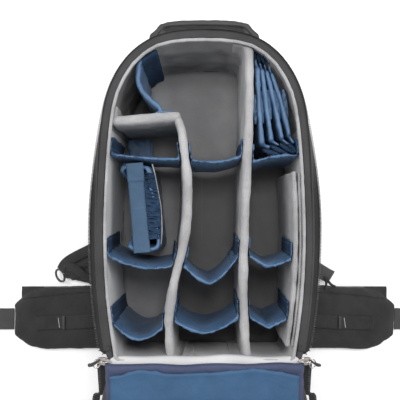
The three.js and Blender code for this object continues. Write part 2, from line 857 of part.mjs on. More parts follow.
addMesh("lid_hinge", buildLidHinge(), "nylon");
addMesh("lid_shell", lidPanel(0, 0, -LID_THICKNESS, 0, { low: 9, high: 2 }), "nylon");
addMesh(
  "lid_lining",
  lidPanel(-LID_LINING_LAP, LID_BORDER_INSET, SEAM_GAP, SEAM_GAP + LID_BORDER, { low: 1, high: 3 }),
  "blue_lid",
);
addMesh(
  "lid_pocket",
  lidPanel(
    0,
    LID_POCKET_INSET,
    LID_BORDER + SEAM_GAP * 2,
    LID_BORDER + SEAM_GAP * 2 + LID_POCKET,
    { low: 0.5, high: 1.5 },
  ),
  "blue_lid",
);
addMesh("zip_lid", buildLidZip(), "zip");

// Dividers

const LONG_TOP_Z = RIM_Z - LONG_DIVIDER_DROP;
const CROSS_TOP_Z = RIM_Z - CROSS_DIVIDER_DROP;
const heightShare = (z) => (z - STAND_Z) / (LONG_TOP_Z - STAND_Z);

// The levels of a standing pad: { z, share }, square below and drawn in at its soft top edge
function padLevels(top, soft) {
  return [
    { z: STAND_Z, share: 0 },
    { z: (STAND_Z + LONG_TOP_Z) / 2, share: 0 },
    { z: top - soft, share: 0 },
    { z: top, share: 0.24 },
  ];
}

// The middle line of a long divider at y and z
function dividerX(table, y, z) {
  const rows = [...table].sort((p, q) => p.along - q.along);
  const curve = (key) => {
    const share = THREE.MathUtils.clamp(y / HALF_LENGTH, rows[0].along, rows[rows.length - 1].along);
    let k = 0;
    while (k + 2 < rows.length && share > rows[k + 1].along) k++;
    const [p, q] = [rows[k], rows[k + 1]];
    const t = (share - p.along) / (q.along - p.along);
    const before = rows[Math.max(k - 1, 0)];
    const after = rows[Math.min(k + 2, rows.length - 1)];
    const slopeP = ((q[key] - before[key]) / (q.along - before.along || 1)) * (q.along - p.along);
    const slopeQ = ((after[key] - p[key]) / (after.along - p.along || 1)) * (q.along - p.along);
    const [t2, t3] = [t * t, t * t * t];
    const start = (2 * t3 - 3 * t2 + 1) * p[key] + (t3 - 2 * t2 + t) * slopeP;
    return start + (3 * t2 - 2 * t3) * q[key] + (t3 - t2) * slopeQ;
  };
  return HALF_WIDTH * lerp(curve("base"), curve("top"), heightShare(z));
}

const leftFace = (table, y, z) => dividerX(table, y, z) - LONG_DIVIDER / 2;
const rightFace = (table, y, z) => dividerX(table, y, z) + LONG_DIVIDER / 2;

// The side panels follow the right wall, one inside the other
const OUTER_PANEL_X = (y, z) => wallX(1, y, z) - SIDE_PANEL_SPACING - SIDE_PANEL_OUTER;
const INNER_PANEL_X = (y, z) => OUTER_PANEL_X(y, z) - SIDE_PANEL_SPACING - SIDE_PANEL_INNER;

const BAYS = {
  left: { left: (y, z) => wallX(-1, y, z), right: (y, z) => leftFace(LEFT_DIVIDER, y, z) },
  middle: {
    left: (y, z) => rightFace(LEFT_DIVIDER, y, z),
    right: (y, z) => leftFace(RIGHT_DIVIDER, y, z),
  },
  upper_right: { left: (y, z) => rightFace(RIGHT_DIVIDER, y, z), right: (y, z) => wallX(1, y, z) },
  right: { left: (y, z) => rightFace(RIGHT_DIVIDER, y, z), right: INNER_PANEL_X },
};

// A thin tab along the crown or foot wall, from x to x + length
function endTab(side, x, length, low, high) {
  const steps = [0, 0.5, 1];
  const level = (z) => {
    const near = steps.map((u) => x + length * u);
    const face = near.map((px) => new THREE.Vector2(px, wallY(side, px, z) - side * SEAM_GAP));
    return { a: face, b: face.map((p) => new THREE.Vector2(p.x, p.y - side * TAB)), z };
  };
  return ribbon([level(low), level(high)]);
}

// A long divider between its head and the foot wall. Each tab lies along a wall: side is +1 at the
// crown and -1 at the foot, and hand says which way it points.
function longDivider(table, head, tabs) {
  const clear = SEAM_GAP * 2;
  const middleX = (z) => dividerX(table, FOOT_Y + LINING_IN, z);
  const wallUnder = (s, z) => wallY(-1, middleX(z) + s * LONG_DIVIDER, z);
  const foot = (z) => Math.max(wallUnder(-0.5, z), wallUnder(0.5, z)) + clear;
  const soft = LONG_DIVIDER * 0.3;
  const steps = PAD_STEPS * 2;
  const rows = Array.from({ length: steps }, (_, k) => lerp(head, foot(LONG_TOP_Z), k / steps));
  const body = padLevels(LONG_TOP_Z, soft).map(({ z, share }) => {
    const ys = [...rows, foot(z)];
    const a = ys.map((y) => new THREE.Vector2(leftFace(table, y, z), y));
    const b = ys.map((y) => new THREE.Vector2(rightFace(table, y, z), y));
    return { ...drawnIn({ a, b }, share), z };
  });
  const extra = tabs.map(({ side, hand }) => {
    const x = dividerX(table, side > 0 ? head : foot(LONG_TOP_Z), LONG_TOP_Z);
    return endTab(side, x, hand * (END_TAB_LENGTH + LONG_DIVIDER / 2), STAND_Z, LONG_TOP_Z - soft);
  });
  return join(ribbon(body), ...extra);
}

// The grey shelf crosses the left bay and meets the long divider's upper end
const SHELF_ALONG = 0.472;
const SHELF_RISE = 0.03;
const LEFT_DIVIDER_HEAD = 0.49;

const shelfMiddle = (u) => HALF_LENGTH * (SHELF_ALONG + SHELF_RISE * (u - 0.5));

function buildShelf() {
  const level = ({ z, share }) => {
    const a = [];
    const b = [];
    for (let k = 0; k <= PAD_STEPS; k++) {
      const u = k / PAD_STEPS;
      const y = shelfMiddle(u);
      const left = wallX(-1, y + SHELF_DIVIDER / 2, z) + SEAM_GAP * 2;
      const belly = SHELF_DIVIDER * 0.5 * (0.82 + 0.18 * Math.sin(Math.PI * u));
      const xAt = (v) => lerp(left, BAYS.left.right(v, z) - SEAM_GAP * 1.5, u);
      a.push(new THREE.Vector2(xAt(y + belly), y + belly));
      b.push(new THREE.Vector2(xAt(y - belly), y - belly));
    }
    return { ...drawnIn({ a, b }, share), z };
  };
  const soft = SHELF_DIVIDER * 0.3;
  const body = ribbon(padLevels(LONG_TOP_Z, soft).map(level));
  const tab = sideTab(-1, shelfMiddle(0), TAB_LENGTH * 0.9, LONG_TOP_Z - soft);
  return join(body, tab);
}

// A thin tab along a side wall, from y up by length
function sideTab(side, y, length, top) {
  const level = (z) => {
    const ys = [0, 0.5, 1].map((u) => y + length * u);
    const face = ys.map((py) => new THREE.Vector2(wallX(side, py, z) - side * SEAM_GAP, py));
    return { a: face, b: face.map((p) => new THREE.Vector2(p.x - side * TAB * 1.4, p.y)), z };
  };
  return ribbon([level(STAND_Z), level(top)]);
}

// How deep the sag is at a share across the bay: a bow, blended with a fold at bend
function sagShape(u, vee, bend) {
  const bow = 4 * u * (1 - u);
  const fold = u < bend ? u / bend : (1 - u) / (1 - bend);
  return lerp(bow, fold, vee);
}

function crossDivider({ bay, along, rise, lean, sag, vee, bend }) {
  const { left, right } = BAYS[bay];
  const half = CROSS_DIVIDER / 2;
  const level = ({ z, share }) => {
    const depth = 1 - heightShare(z);
    const middle = HALF_LENGTH * (along + lean * depth);
    const ends = [-0.5, 0.5].map((s) => middle + s * rise * HALF_LENGTH);
    const width = right(middle, z) - left(middle, z);
    const start = left(ends[0], z) + DIVIDER_GAP + TAB;
    const stop = right(ends[1], z) - DIVIDER_GAP - TAB;
    const outer = [];
    const inner = [];
    const tabRows = [1, 0.5];
    tabRows.forEach((t) => {
      const y = ends[0] + half + TAB_LENGTH * t;
      outer.push(new THREE.Vector2(left(y, z) + DIVIDER_GAP, y));
      inner.push(new THREE.Vector2(left(y, z) + DIVIDER_GAP + TAB, y));
    });
    outer.push(new THREE.Vector2(left(ends[0] - half, z) + DIVIDER_GAP, ends[0] - half));
    inner.push(new THREE.Vector2(left(ends[0] + half, z) + DIVIDER_GAP + TAB, ends[0] + half));
    for (let k = 1; k < PAD_STEPS; k++) {
      const u = k / PAD_STEPS;
      const step = 1 / PAD_STEPS;
      const y = lerp(ends[0], ends[1], u) - sag * width * sagShape(u, vee, bend);
      const fall = sag * width * (sagShape(u + step, vee, bend) - sagShape(u - step, vee, bend));
      const steepness = Math.hypot(1, fall / ((stop - start) * 2 * step));
      const x = lerp(start, stop, u);
      outer.push(new THREE.Vector2(x, y - half * steepness));
      inner.push(new THREE.Vector2(x, y + half * steepness));
    }
    outer.push(new THREE.Vector2(right(ends[1] - half, z) - DIVIDER_GAP, ends[1] - half));
    inner.push(new THREE.Vector2(right(ends[1] + half, z) - DIVIDER_GAP - TAB, ends[1] + half));
    [...tabRows].reverse().forEach((t) => {
      const y = ends[1] + half + TAB_LENGTH * t;
      outer.push(new THREE.Vector2(right(y, z) - DIVIDER_GAP, y));
      inner.push(new THREE.Vector2(right(y, z) - DIVIDER_GAP - TAB, y));
    });
    return { ...drawnIn({ a: outer, b: inner }, share), z };
  };
  return ribbon(padLevels(CROSS_TOP_Z, CROSS_DIVIDER * 0.4).map(level));
}

// A board of even thickness through points given as shares, standing on the lining
function standingBoard(points, thickness, top) {
  const path = new THREE.SplineCurve(points).getSpacedPoints(PAD_STEPS);
  const sides = sidesOf(path, thickness);
  return ribbon([
    { ...sides, z: STAND_Z },
    { ...sides, z: top - thickness * 0.4 },
    { ...drawnIn(sides, 0.25), z: top },
  ]);
}

const fromShares = ([across, along]) => new THREE.Vector2(across * HALF_WIDTH, along * HALF_LENGTH);

function buildCornerDivider() {
  const top = CROSS_TOP_Z;
  const body = CORNER_DIVIDER.map((s) => fromShares([s.across, s.along]));
  const pad = standingBoard(body, CORNER_PAD, top);
  const headX = [0, 0.5, 1].map((u) => HALF_WIDTH * CORNER_HEAD_ACROSS + TAB_LENGTH * 1.05 * u);
  const level = (z) => {
    const face = headX.map((x) => new THREE.Vector2(x, wallY(1, x, z) - SEAM_GAP));
    return { a: face, b: face.map((p) => new THREE.Vector2(p.x, p.y - TAB * 2.4)), z };
  };
  const headTab = ribbon([level(STAND_Z), level(top)]);
  const riserX = body[0].x;
  const riserY = wallY(1, riserX - CROSS_DIVIDER * 0.6, top) - SEAM_GAP * 3;
  const riser = [body[0], new THREE.Vector2(riserX, riserY)];
  const neck = standingNeck(riser, CROSS_DIVIDER * 0.8, top);
  const footStart = body[body.length - 1];
  const footEnd = new THREE.Vector2(HALF_WIDTH * CORNER_FOOT_ACROSS, 0);
  const lift = (u) => shelfMiddle(u) + SHELF_DIVIDER * 0.5 + SEAM_GAP;
  const footLine = [footStart.x - CROSS_DIVIDER, footStart.x + CROSS_DIVIDER, footEnd.x].map(
    (x, i) => new THREE.Vector2(x, lift(lerp(0.7, 1, i / 2)) + TAB / 2),
  );
  const footTab = standingNeck(footLine, TAB, top);
  const knee = standingNeck([footStart, footLine[1]], CROSS_DIVIDER * 0.7, top);
  return join(pad, headTab, neck, footTab, knee);
}

function standingNeck(path, thickness, top) {
  const sides = sidesOf(path, thickness);
  return ribbon([{ ...sides, z: STAND_Z }, { ...sides, z: top }]);
}

function buildSpare({ head, middle, foot, tip }) {
  const [h, m, f, t] = [head, middle, foot, tip].map(fromShares);
  const board = standingBoard([h, m, f], SPARE_DIVIDER, CROSS_TOP_Z);
  const folded = standingNeck([f, t], TAB, CROSS_TOP_Z - SPARE_DIVIDER);
  const up = h.clone().add(new THREE.Vector2(-0.3, 1).normalize().multiplyScalar(TAB_LENGTH * 0.5));
  const upper = standingNeck([h, up], TAB, CROSS_TOP_Z - SPARE_DIVIDER);
  return join(board, folded, upper);
}

// A back tab of the upper left divider, flat on the lining and sewn to the divider's lower edge
function buildBackTab() {
  const row = CROSS_DIVIDERS[0];
  const y = HALF_LENGTH * row.along + CROSS_DIVIDER / 2 - SEAM_GAP;
  const middle = lerp(BAYS.left.left(y, STAND_Z), BAYS.left.right(y, STAND_Z), BACK_TAB_PLACE);
  const near = [y, y + BACK_TAB_LENGTH].map((v) => new THREE.Vector2(middle - BACK_TAB_WIDTH / 2, v));
  const far = near.map((p) => new THREE.Vector2(p.x + BACK_TAB_WIDTH, p.y));
  return ribbon([{ a: near, b: far, z: STAND_Z }, { a: near, b: far, z: STAND_Z + TAB }]);
}

const crownX = dividerX(RIGHT_DIVIDER, HALF_LENGTH, STAND_Z);
const RIGHT_DIVIDER_HEAD = wallY(1, crownX + LONG_DIVIDER / 2, STAND_Z) - SEAM_GAP * 2;

addMesh("shelf_divider", buildShelf(), "grey_divider");
const leftTabs = [{ side: -1, hand: 1 }];
const rightTabs = [{ side: 1, hand: -1 }, { side: -1, hand: -1 }];
const leftLong = longDivider(LEFT_DIVIDER, HALF_LENGTH * LEFT_DIVIDER_HEAD, leftTabs);
addMesh("long_divider_left", leftLong, "grey_divider");
addMesh("long_divider_right", longDivider(RIGHT_DIVIDER, RIGHT_DIVIDER_HEAD, rightTabs), "grey_divider");

CROSS_DIVIDERS.forEach((row, i) => {
  const pad = crossDivider(row);
  addMesh(row.name, i === 0 ? join(pad, buildBackTab()) : pad, "blue_divider");
});
addMesh("divider_corner", buildCornerDivider(), "blue_divider");
SPARE_DIVIDERS.forEach((row, i) => addMesh(`spare_divider_${i + 1}`, buildSpare(row), "blue_divider"));

// Two grey panels standing along the right wall

const PANEL_HEAD = 0.155;
const PANEL_FOOT = -0.9;

function sidePanel(face, thickness) {
  const level = ({ z, share }) => {
    const a = [];
    const b = [];
    const steps = PAD_STEPS + 2;
    for (let k = 0; k <= steps; k++) {
      const y = HALF_LENGTH * lerp(PANEL_HEAD, PANEL_FOOT, k / steps);
      a.push(new THREE.Vector2(face(y, z), y));
      b.push(new THREE.Vector2(face(y, z) + thickness, y));
    }
    return { ...drawnIn({ a, b }, share), z };
  };
  return ribbon(padLevels(LONG_TOP_Z, thickness * 0.4).map(level));
}

addMesh("side_panel_inner", sidePanel(INNER_PANEL_X, SIDE_PANEL_INNER), "grey_divider");
addMesh("side_panel_outer", sidePanel(OUTER_PANEL_X, SIDE_PANEL_OUTER), "grey_divider");

// Strap pocket: a padded wall bent into a tall loop, with a flat strap across its open top

const POCKET_CORNERS = [
  [-0.81, 0.208],
  [-0.5, 0.206],
  [-0.4, -0.335],
  [-0.73, -0.335],
];
const POCKET_TOP_Z = RIM_Z - POCKET_DROP;

function pocketLoop(inset) {
  const corners = POCKET_CORNERS.map(fromShares);
  const middle = corners.reduce((sum, p) => sum.clone().add(p)).divideScalar(corners.length);
  return corners.flatMap((p, i) => {
    const before = corners[(i + corners.length - 1) % corners.length];
    const after = corners[(i + 1) % corners.length];
    const inward = new THREE.Vector2(Math.sign(middle.x - p.x), Math.sign(middle.y - p.y));
    const corner = p.clone().addScaledVector(inward, inset);
    const reach = POCKET_ROUNDING - inset * 0.8;
    const from = before.clone().sub(p).setLength(reach).add(corner);
    const to = after.clone().sub(p).setLength(reach).add(corner);
    return new THREE.QuadraticBezierCurve(from, corner, to).getPoints(3);
  });
}

function buildPocket() {
  const raised = (inset, z) => pocketLoop(inset).map((p) => new THREE.Vector3(p.x, p.y, z));
  const soft = POCKET_WALL * 0.3;
  return loft(
    [
      raised(0, STAND_Z),
      raised(0, POCKET_TOP_Z - soft),
      raised(soft, POCKET_TOP_Z),
      raised(POCKET_WALL - soft, POCKET_TOP_Z),
      raised(POCKET_WALL, POCKET_TOP_Z - soft),
      raised(POCKET_WALL, STAND_Z),
    ],
    { ring: true },
  );
}

function buildPocketStrap() {
  const [a, b, c, d] = POCKET_CORNERS.map(fromShares);
  const head = a.clone().lerp(b, 0.5);
  const foot = d.clone().lerp(c, 0.44);
  const low = POCKET_TOP_Z + SEAM_GAP;
  const path = [head, head.clone().lerp(foot, 0.5), foot];
  return layFlat(sidesOf(path, POCKET_STRAP_WIDTH), low, low + POCKET_STRAP);
}

addMesh("strap_pocket", buildPocket(), "blue_divider");
addMesh("strap_pocket_band", buildPocketStrap(), "blue_divider");

// Harness: a back pad, two shoulder straps, the lumbar pad and the hip belt

const PAD_HEAD = 0.88;
const BELT_MIDDLE_Y = FOOT_Y + BELT_ABOVE_FOOT;
const LUMBAR_HEAD_Y = BELT_MIDDLE_Y + BELT_HEIGHT / 2;
const LUMBAR_FOOT_Y = BELT_MIDDLE_Y - BELT_HEIGHT / 2;

function rectangleSides(x0, x1, y0, y1, corner) {
  const a = [];
  const b = [];
  [0, 0.3, 1].forEach((u) => {
    const drop = corner * (1 - Math.sqrt(1 - (1 - u) ** 2));
    a.push(new THREE.Vector2(x0 + corner * u, y0 + drop));
    b.push(new THREE.Vector2(x0 + corner * u, y1 - drop));
  });
  [...a].reverse().forEach((p) => a.push(new THREE.Vector2(x1 - (p.x - x0), p.y)));
  [...b].reverse().forEach((p) => b.push(new THREE.Vector2(x1 - (p.x - x0), p.y)));
  return { a, b };
}

function buildBackPad() {
  const sides = rectangleSides(
    -PAD_WIDTH / 2,
    PAD_WIDTH / 2,
    LUMBAR_HEAD_Y + SEAM_GAP * 2,
    HALF_LENGTH * PAD_HEAD,
    PAD_WIDTH * 0.2,
  );
  return layFlat(sides, 0, HARNESS, 0.2);
}

function buildLumbarPad() {
  const half = LUMBAR_WIDTH / 2;
  const sides = rectangleSides(-half, half, LUMBAR_FOOT_Y, LUMBAR_HEAD_Y, LUMBAR_CORNER);
  return layFlat(sides, 0, HARNESS, 0.2);
}

// A hip wing runs out from the lumbar pad at full height, then tapers to its webbing
function buildBeltWing(side) {
  const start = LUMBAR_WIDTH / 2 + SEAM_GAP;
  const taper = BELT_REACH - BELT_TAPER;
  const xs = [start, lerp(start, taper, 0.5), taper, lerp(taper, BELT_REACH, 0.5), BELT_REACH];
  const heights = [1, 1, 1, 0.86, BELT_TIP_HEIGHT / BELT_HEIGHT];
  const droop = [0, 0, -2, -3, -4];
  const reach = (i) => (heights[i] * BELT_HEIGHT) / 2;
  const edge = (sign) =>
    xs.map((x, i) => new THREE.Vector2(side * x, BELT_MIDDLE_Y + droop[i] + sign * reach(i)));
  return layFlat({ a: edge(1), b: edge(-1) }, 0, BELT_THICKNESS, 0.2);
}

// Webbing sewn along the hip wing, on which pouches are hung
function buildRail(side) {
  const y = BELT_MIDDLE_Y - RAIL_DROP;
  const from = side * (LUMBAR_WIDTH / 2 + RAIL_WIDTH / 2);
  const to = side * (BELT_REACH - BELT_TAPER * 0.7);
  const low = BELT_THICKNESS + SEAM_GAP;
  const path = [
    new THREE.Vector2(from, y + RAIL_RISE),
    new THREE.Vector2((from + to) / 2, y),
    new THREE.Vector2(to, y - RAIL_DIP),
  ];
  return layFlat(sidesOf(path, RAIL_WIDTH), low, low + WEBBING);
}

function buildBeltWebbing(side) {
  const from = side * (BELT_REACH + SEAM_GAP);
  const to = side * (BELT_REACH + BELT_WEBBING_LENGTH);
  const y = BELT_MIDDLE_Y - BELT_END_DROP;
  const low = BUCKLE_THICKNESS / 2 - WEBBING;
  return layFlat(
    sidesOf([new THREE.Vector2(from, y), new THREE.Vector2(to, y)], BELT_WEBBING_WIDTH),
    low,
    low + WEBBING * 1.5,
  );
}

// Side-release buckle: a slotted bar with two prongs on the right, and a hollow-mouthed box on the left
function buildBuckle(side) {
  const y = BELT_MIDDLE_Y - BELT_END_DROP;
  const start = BELT_REACH + BELT_WEBBING_LENGTH + SEAM_GAP;
  const half = BELT_WEBBING_WIDTH / 2 + BUCKLE_MARGIN;
  const at = (x, v) => new THREE.Vector2(side * (start + x), y + v);
  const slab = (x0, x1, h0, h1, low, high) =>
    ribbon(
      [low, high].map((z) => ({ a: [at(x0, h0), at(x1, h0)], b: [at(x0, h1), at(x1, h1)], z })),
    );
  const bar = BUCKLE_LENGTH * 0.45;
  if (side > 0) {
    const body = slab(0, bar, -half, half, 0, BUCKLE_THICKNESS);
    const prongs = [-1, 1].map((sign) =>
      slab(
        bar - 1,
        BUCKLE_LENGTH,
        sign * (half - BUCKLE_WALL),
        sign * (half - BUCKLE_WALL - PRONG),
        BUCKLE_WALL,
        BUCKLE_THICKNESS - BUCKLE_WALL,
      ),
    );
    return join(body, ...prongs);
  }
  const box = slab(0, BUCKLE_LENGTH, -half, half, 0, BUCKLE_THICKNESS);
  const inner = half - BUCKLE_WALL;
  const shelf = BUCKLE_WALL * 0.8;
  const mouth = slab(bar, BUCKLE_LENGTH + 1, -inner, inner, shelf, BUCKLE_THICKNESS - shelf);
  return cut(box, mouth);
}

function strapPath({ run, end }) {
  const tip = new THREE.Vector2(end.across * HALF_WIDTH, LUMBAR_HEAD_Y + end.aboveBelt);
  return new THREE.SplineCurve([...run.map(fromShares), tip]).getSpacedPoints(STRAP_STEPS);
}

function buildShoulderStrap(table) {
  const path = strapPath(table);
  const width = (u) => lerp(STRAP_WIDTH, STRAP_END_WIDTH, smoothstep(u, 0.45, 0.95));
  return layFlat(sidesOf(path, width), 0, HARNESS - SEAM_GAP, 0.2);
}

// The end of a shoulder strap and the way it points
function strapEnd(table) {
  const [before, end] = strapPath(table).slice(-2);
  return { end, along: end.clone().sub(before).normalize() };
}

function buildStrapRing() {
  const { end, along } = strapEnd(LEFT_STRAP);
  const spot = end.clone().addScaledVector(along, STRAP_RING_WIDTH / 2 + SEAM_GAP);
  const turn = Math.atan2(along.x, -along.y);
  return flatRing(spot.x, spot.y, STRAP_RING_LENGTH, STRAP_RING_WIDTH, STRAP_RING_WIRE, HARNESS / 2, turn);
}

// Webbing tail of the right strap's adjuster, sticking out past the bag's side
function buildWebbingTail() {
  const { end, along } = strapEnd(RIGHT_STRAP);
  const start = end.clone().addScaledVector(along, SEAM_GAP);
  const middle = start.clone().addScaledVector(along, TAIL_LENGTH / 2);
  const tip = middle.clone().addScaledVector(along, TAIL_LENGTH / 2).add(new THREE.Vector2(0, TAIL_DROOP));
  const low = HARNESS - SEAM_GAP - WEBBING * 2;
  return layFlat(sidesOf([start, middle, tip], STRAP_WEBBING_WIDTH), low, low + WEBBING);
}

addMesh("back_pad", buildBackPad(), "mesh_pad");
addMesh("lumbar_pad", buildLumbarPad(), "mesh_pad");
addMesh("shoulder_strap_left", buildShoulderStrap(LEFT_STRAP), "nylon");
addMesh("shoulder_strap_right", buildShoulderStrap(RIGHT_STRAP), "nylon");
addMesh("strap_ring", buildStrapRing(), "black_plastic");
addMesh("strap_webbing_tail", buildWebbingTail(), "webbing");
for (const [word, side] of [["left", -1], ["right", 1]]) {
  addMesh(`belt_wing_${word}`, buildBeltWing(side), "nylon");
  addMesh(`belt_rail_${word}`, buildRail(side), "webbing");
  addMesh(`belt_webbing_${word}`, buildBeltWebbing(side), "webbing");
  addMesh(`buckle_${word}`, buildBuckle(side), "black_plastic");
}

export default backpack;
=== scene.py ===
"""A large camera backpack lying open on its back, seen straight from above."""
import math

import bmesh
import bpy
from mathutils import Matrix, Vector, noise
from mathutils.bvhtree import BVHTree


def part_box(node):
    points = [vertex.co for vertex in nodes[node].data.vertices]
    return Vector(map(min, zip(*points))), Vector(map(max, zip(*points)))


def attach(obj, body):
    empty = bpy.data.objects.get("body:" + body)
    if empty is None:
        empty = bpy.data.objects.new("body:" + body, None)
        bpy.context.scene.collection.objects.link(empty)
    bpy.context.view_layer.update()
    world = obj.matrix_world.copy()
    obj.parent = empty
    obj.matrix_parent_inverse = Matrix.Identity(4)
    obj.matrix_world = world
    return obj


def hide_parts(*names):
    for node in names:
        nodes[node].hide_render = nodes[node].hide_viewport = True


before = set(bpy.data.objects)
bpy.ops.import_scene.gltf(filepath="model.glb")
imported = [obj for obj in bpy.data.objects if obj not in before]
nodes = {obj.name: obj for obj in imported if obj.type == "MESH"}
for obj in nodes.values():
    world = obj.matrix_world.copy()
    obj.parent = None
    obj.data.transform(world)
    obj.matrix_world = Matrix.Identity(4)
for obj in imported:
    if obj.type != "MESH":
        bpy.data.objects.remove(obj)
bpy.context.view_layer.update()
scene = bpy.context.scene

# Camera: on a high stand over the middle of the compartment, looking straight down, its window moved
# a little sideways and up as the picture is framed.
RIM_Z = 0.1938
CAMERA_HEIGHT = 0.75
CAMERA_OVER = (-0.0022, -0.0232)
LENS_MM = 46.55
WINDOW_SHIFT = (-0.0075, 0.0325)
lens = bpy.data.cameras.new("overhead_camera")
lens.lens = LENS_MM
lens.sensor_width = 36.0
lens.shift_x, lens.shift_y = WINDOW_SHIFT
lens.clip_end = 20.0
camera = bpy.data.objects.new("overhead_camera", lens)
camera.location = (*CAMERA_OVER, RIM_Z + CAMERA_HEIGHT)
scene.collection.objects.link(camera)
scene.camera = camera
scene.view_settings.view_transform = "Standard"
scene.view_settings.look = "None"

# Studio: a white paper sweep on the floor, a wide soft box overhead, two side boxes and white walls.
# The paper is stage, not part of the bag.
PAPER_HALF_SIDE = 6.0
PAPER_GLOW = 0.16
WALL_LIGHT = 0.62


def shader_node(tree, kind, inputs=None, **settings):
    """A shader node with its settings and its sockets filled or wired."""
    made = tree.nodes.new("ShaderNode" + kind)
    for key, value in settings.items():
        setattr(made, key, value)
    for key, value in (inputs or {}).items():
        if isinstance(value, bpy.types.NodeSocket):
            tree.links.new(value, made.inputs[key])
        else:
            made.inputs[key].default_value = value
    return made


def in_scene(name, bm):
    """Turn a finished bmesh into an object of the scene, smooth shaded."""
    mesh = bpy.data.meshes.new(name)
    bm.to_mesh(mesh)
    bm.free()
    mesh.polygons.foreach_set("use_smooth", [True] * len(mesh.polygons))
    piece = bpy.data.objects.new(name, mesh)
    scene.collection.objects.link(piece)
    return piece


bm = bmesh.new()
bmesh.ops.create_grid(bm, x_segments=8, y_segments=8, size=PAPER_HALF_SIDE)
paper = in_scene("paper_floor", bm)
paper_finish = bpy.data.materials.new("white_paper")
paper_finish.use_nodes = True
paper_tree = paper_finish.node_tree
paper_grain = shader_node(paper_tree, "TexNoise", {"Scale": 40.0, "Detail": 4.0})
paper_tone = shader_node(paper_tree, "ValToRGB", {"Fac": paper_grain.outputs["Fac"]})
paper_tone.color_ramp.elements[0].color = (0.93, 0.93, 0.93, 1)
paper_tone.color_ramp.elements[1].color = (0.96, 0.96, 0.96, 1)
paper_surface = paper_tree.nodes["Principled BSDF"]
paper_surface.inputs["Roughness"].default_value = 0.9
paper_surface.inputs["Emission Color"].default_value = (1.0, 1.0, 1.0, 1)
paper_surface.inputs["Emission Strength"].default_value = PAPER_GLOW
paper_tree.links.new(paper_tone.outputs["Color"], paper_surface.inputs["Base Color"])
paper.data.materials.append(paper_finish)

STUDIO_LIGHTS = (
    # name, place, aimed at, size, watts
    ("left_box", (-1.25, 0.4, 1.3), (0.0, 0.1, 0.1), 0.8, 14.5),
    ("right_box", (1.25, 0.4, 1.3), (0.0, 0.1, 0.1), 0.8, 14.5),
    ("overhead_box", (0.05, 0.3, 1.25), (0.0, 0.1, 0.1), 0.3, 4.6),
)
for name, place, target, size, watts in STUDIO_LIGHTS:
    light = bpy.data.lights.new(name, "AREA")
    light.shape = "SQUARE"
    light.size = size
    light.energy = watts
    lamp = bpy.data.objects.new(name, light)
    lamp.location = place
    lamp.rotation_euler = (Vector(target) - Vector(place)).to_track_quat("-Z", "Y").to_euler()
    scene.collection.objects.link(lamp)
walls = bpy.data.worlds.new("white_studio")
walls.use_nodes = True
walls.node_tree.nodes["Background"].inputs["Color"].default_value = (1.0, 1.0, 1.0, 1)
walls.node_tree.nodes["Background"].inputs["Strength"].default_value = WALL_LIGHT
scene.world = walls

# Shell: a big soft tub of padded ballistic nylon, dark grey, its side wall sewn to the back panel
# along the floor seam. Foam fills the wall, so it bellies out a little and creases near its seams.
SHELL_CREASE = 0.0022


def cloth(name, colour, shade, pitch, relief=0.2, roughness=0.85, sheen=0.15, cloud=22.0, shine=0.5):
    """A woven or brushed cloth: its two tones, thread pitch in mm, thread relief in mm and gloss."""
    finish = bpy.data.materials.new(name)
    finish.use_nodes = True
    tree = finish.node_tree
    surface = tree.nodes["Principled BSDF"]
    surface.inputs["Roughness"].default_value = roughness
    surface.inputs["Sheen Weight"].default_value = sheen
    surface.inputs["Sheen Roughness"].default_value = 0.4
    surface.inputs["Specular IOR Level"].default_value = shine
    place = shader_node(tree, "TexCoord").outputs["Object"]
    turns = 2000 * math.pi / pitch
    threads = shader_node(
        tree, "VectorMath", {0: place, 1: (turns, turns, turns)}, operation="MULTIPLY"
    )
    waves = shader_node(tree, "VectorMath", {0: threads.outputs[0]}, operation="SINE")
    weave = shader_node(
        tree, "VectorMath", {0: waves.outputs[0], 1: (0.25, 0.25, 0.25)}, operation="DOT_PRODUCT"
    ).outputs["Value"]
    clouds = shader_node(
        tree, "TexNoise", {"Vector": place, "Scale": cloud, "Detail": 4.0}
    ).outputs["Fac"]
    fibres = shader_node(
        tree, "TexNoise", {"Vector": place, "Scale": 700.0, "Detail": 2.0}
    ).outputs["Fac"]
    specks = shader_node(
        tree, "MapRange", {0: fibres, 1: 0.2, 2: 0.8, 3: -0.3, 4: 0.3}
    ).outputs[0]
    tone = shader_node(tree, "MapRange", {0: clouds, 1: 0.3, 2: 0.7, 3: 0.15, 4: 0.85}).outputs[0]
    tone = shader_node(tree, "Math", {0: tone, 1: specks}, operation="ADD").outputs[0]
    tone = shader_node(
        tree, "Math", {0: weave, 1: 0.25, 2: tone}, operation="MULTIPLY_ADD", use_clamp=True
    ).outputs[0]
    dye = shader_node(tree, "ValToRGB", {"Fac": tone})
    dye.color_ramp.elements[0].color = (*shade, 1)
    dye.color_ramp.elements[1].color = (*colour, 1)
    tree.links.new(dye.outputs["Color"], surface.inputs["Base Color"])
    height = shader_node(
        tree, "Math", {0: fibres, 1: 0.8, 2: weave}, operation="MULTIPLY_ADD"
    ).outputs[0]
    bump = shader_node(
        tree, "Bump", {"Height": height, "Distance": relief / 1000, "Strength": 0.6}
    )
    tree.links.new(bump.outputs["Normal"], surface.inputs["Normal"])
    return finish


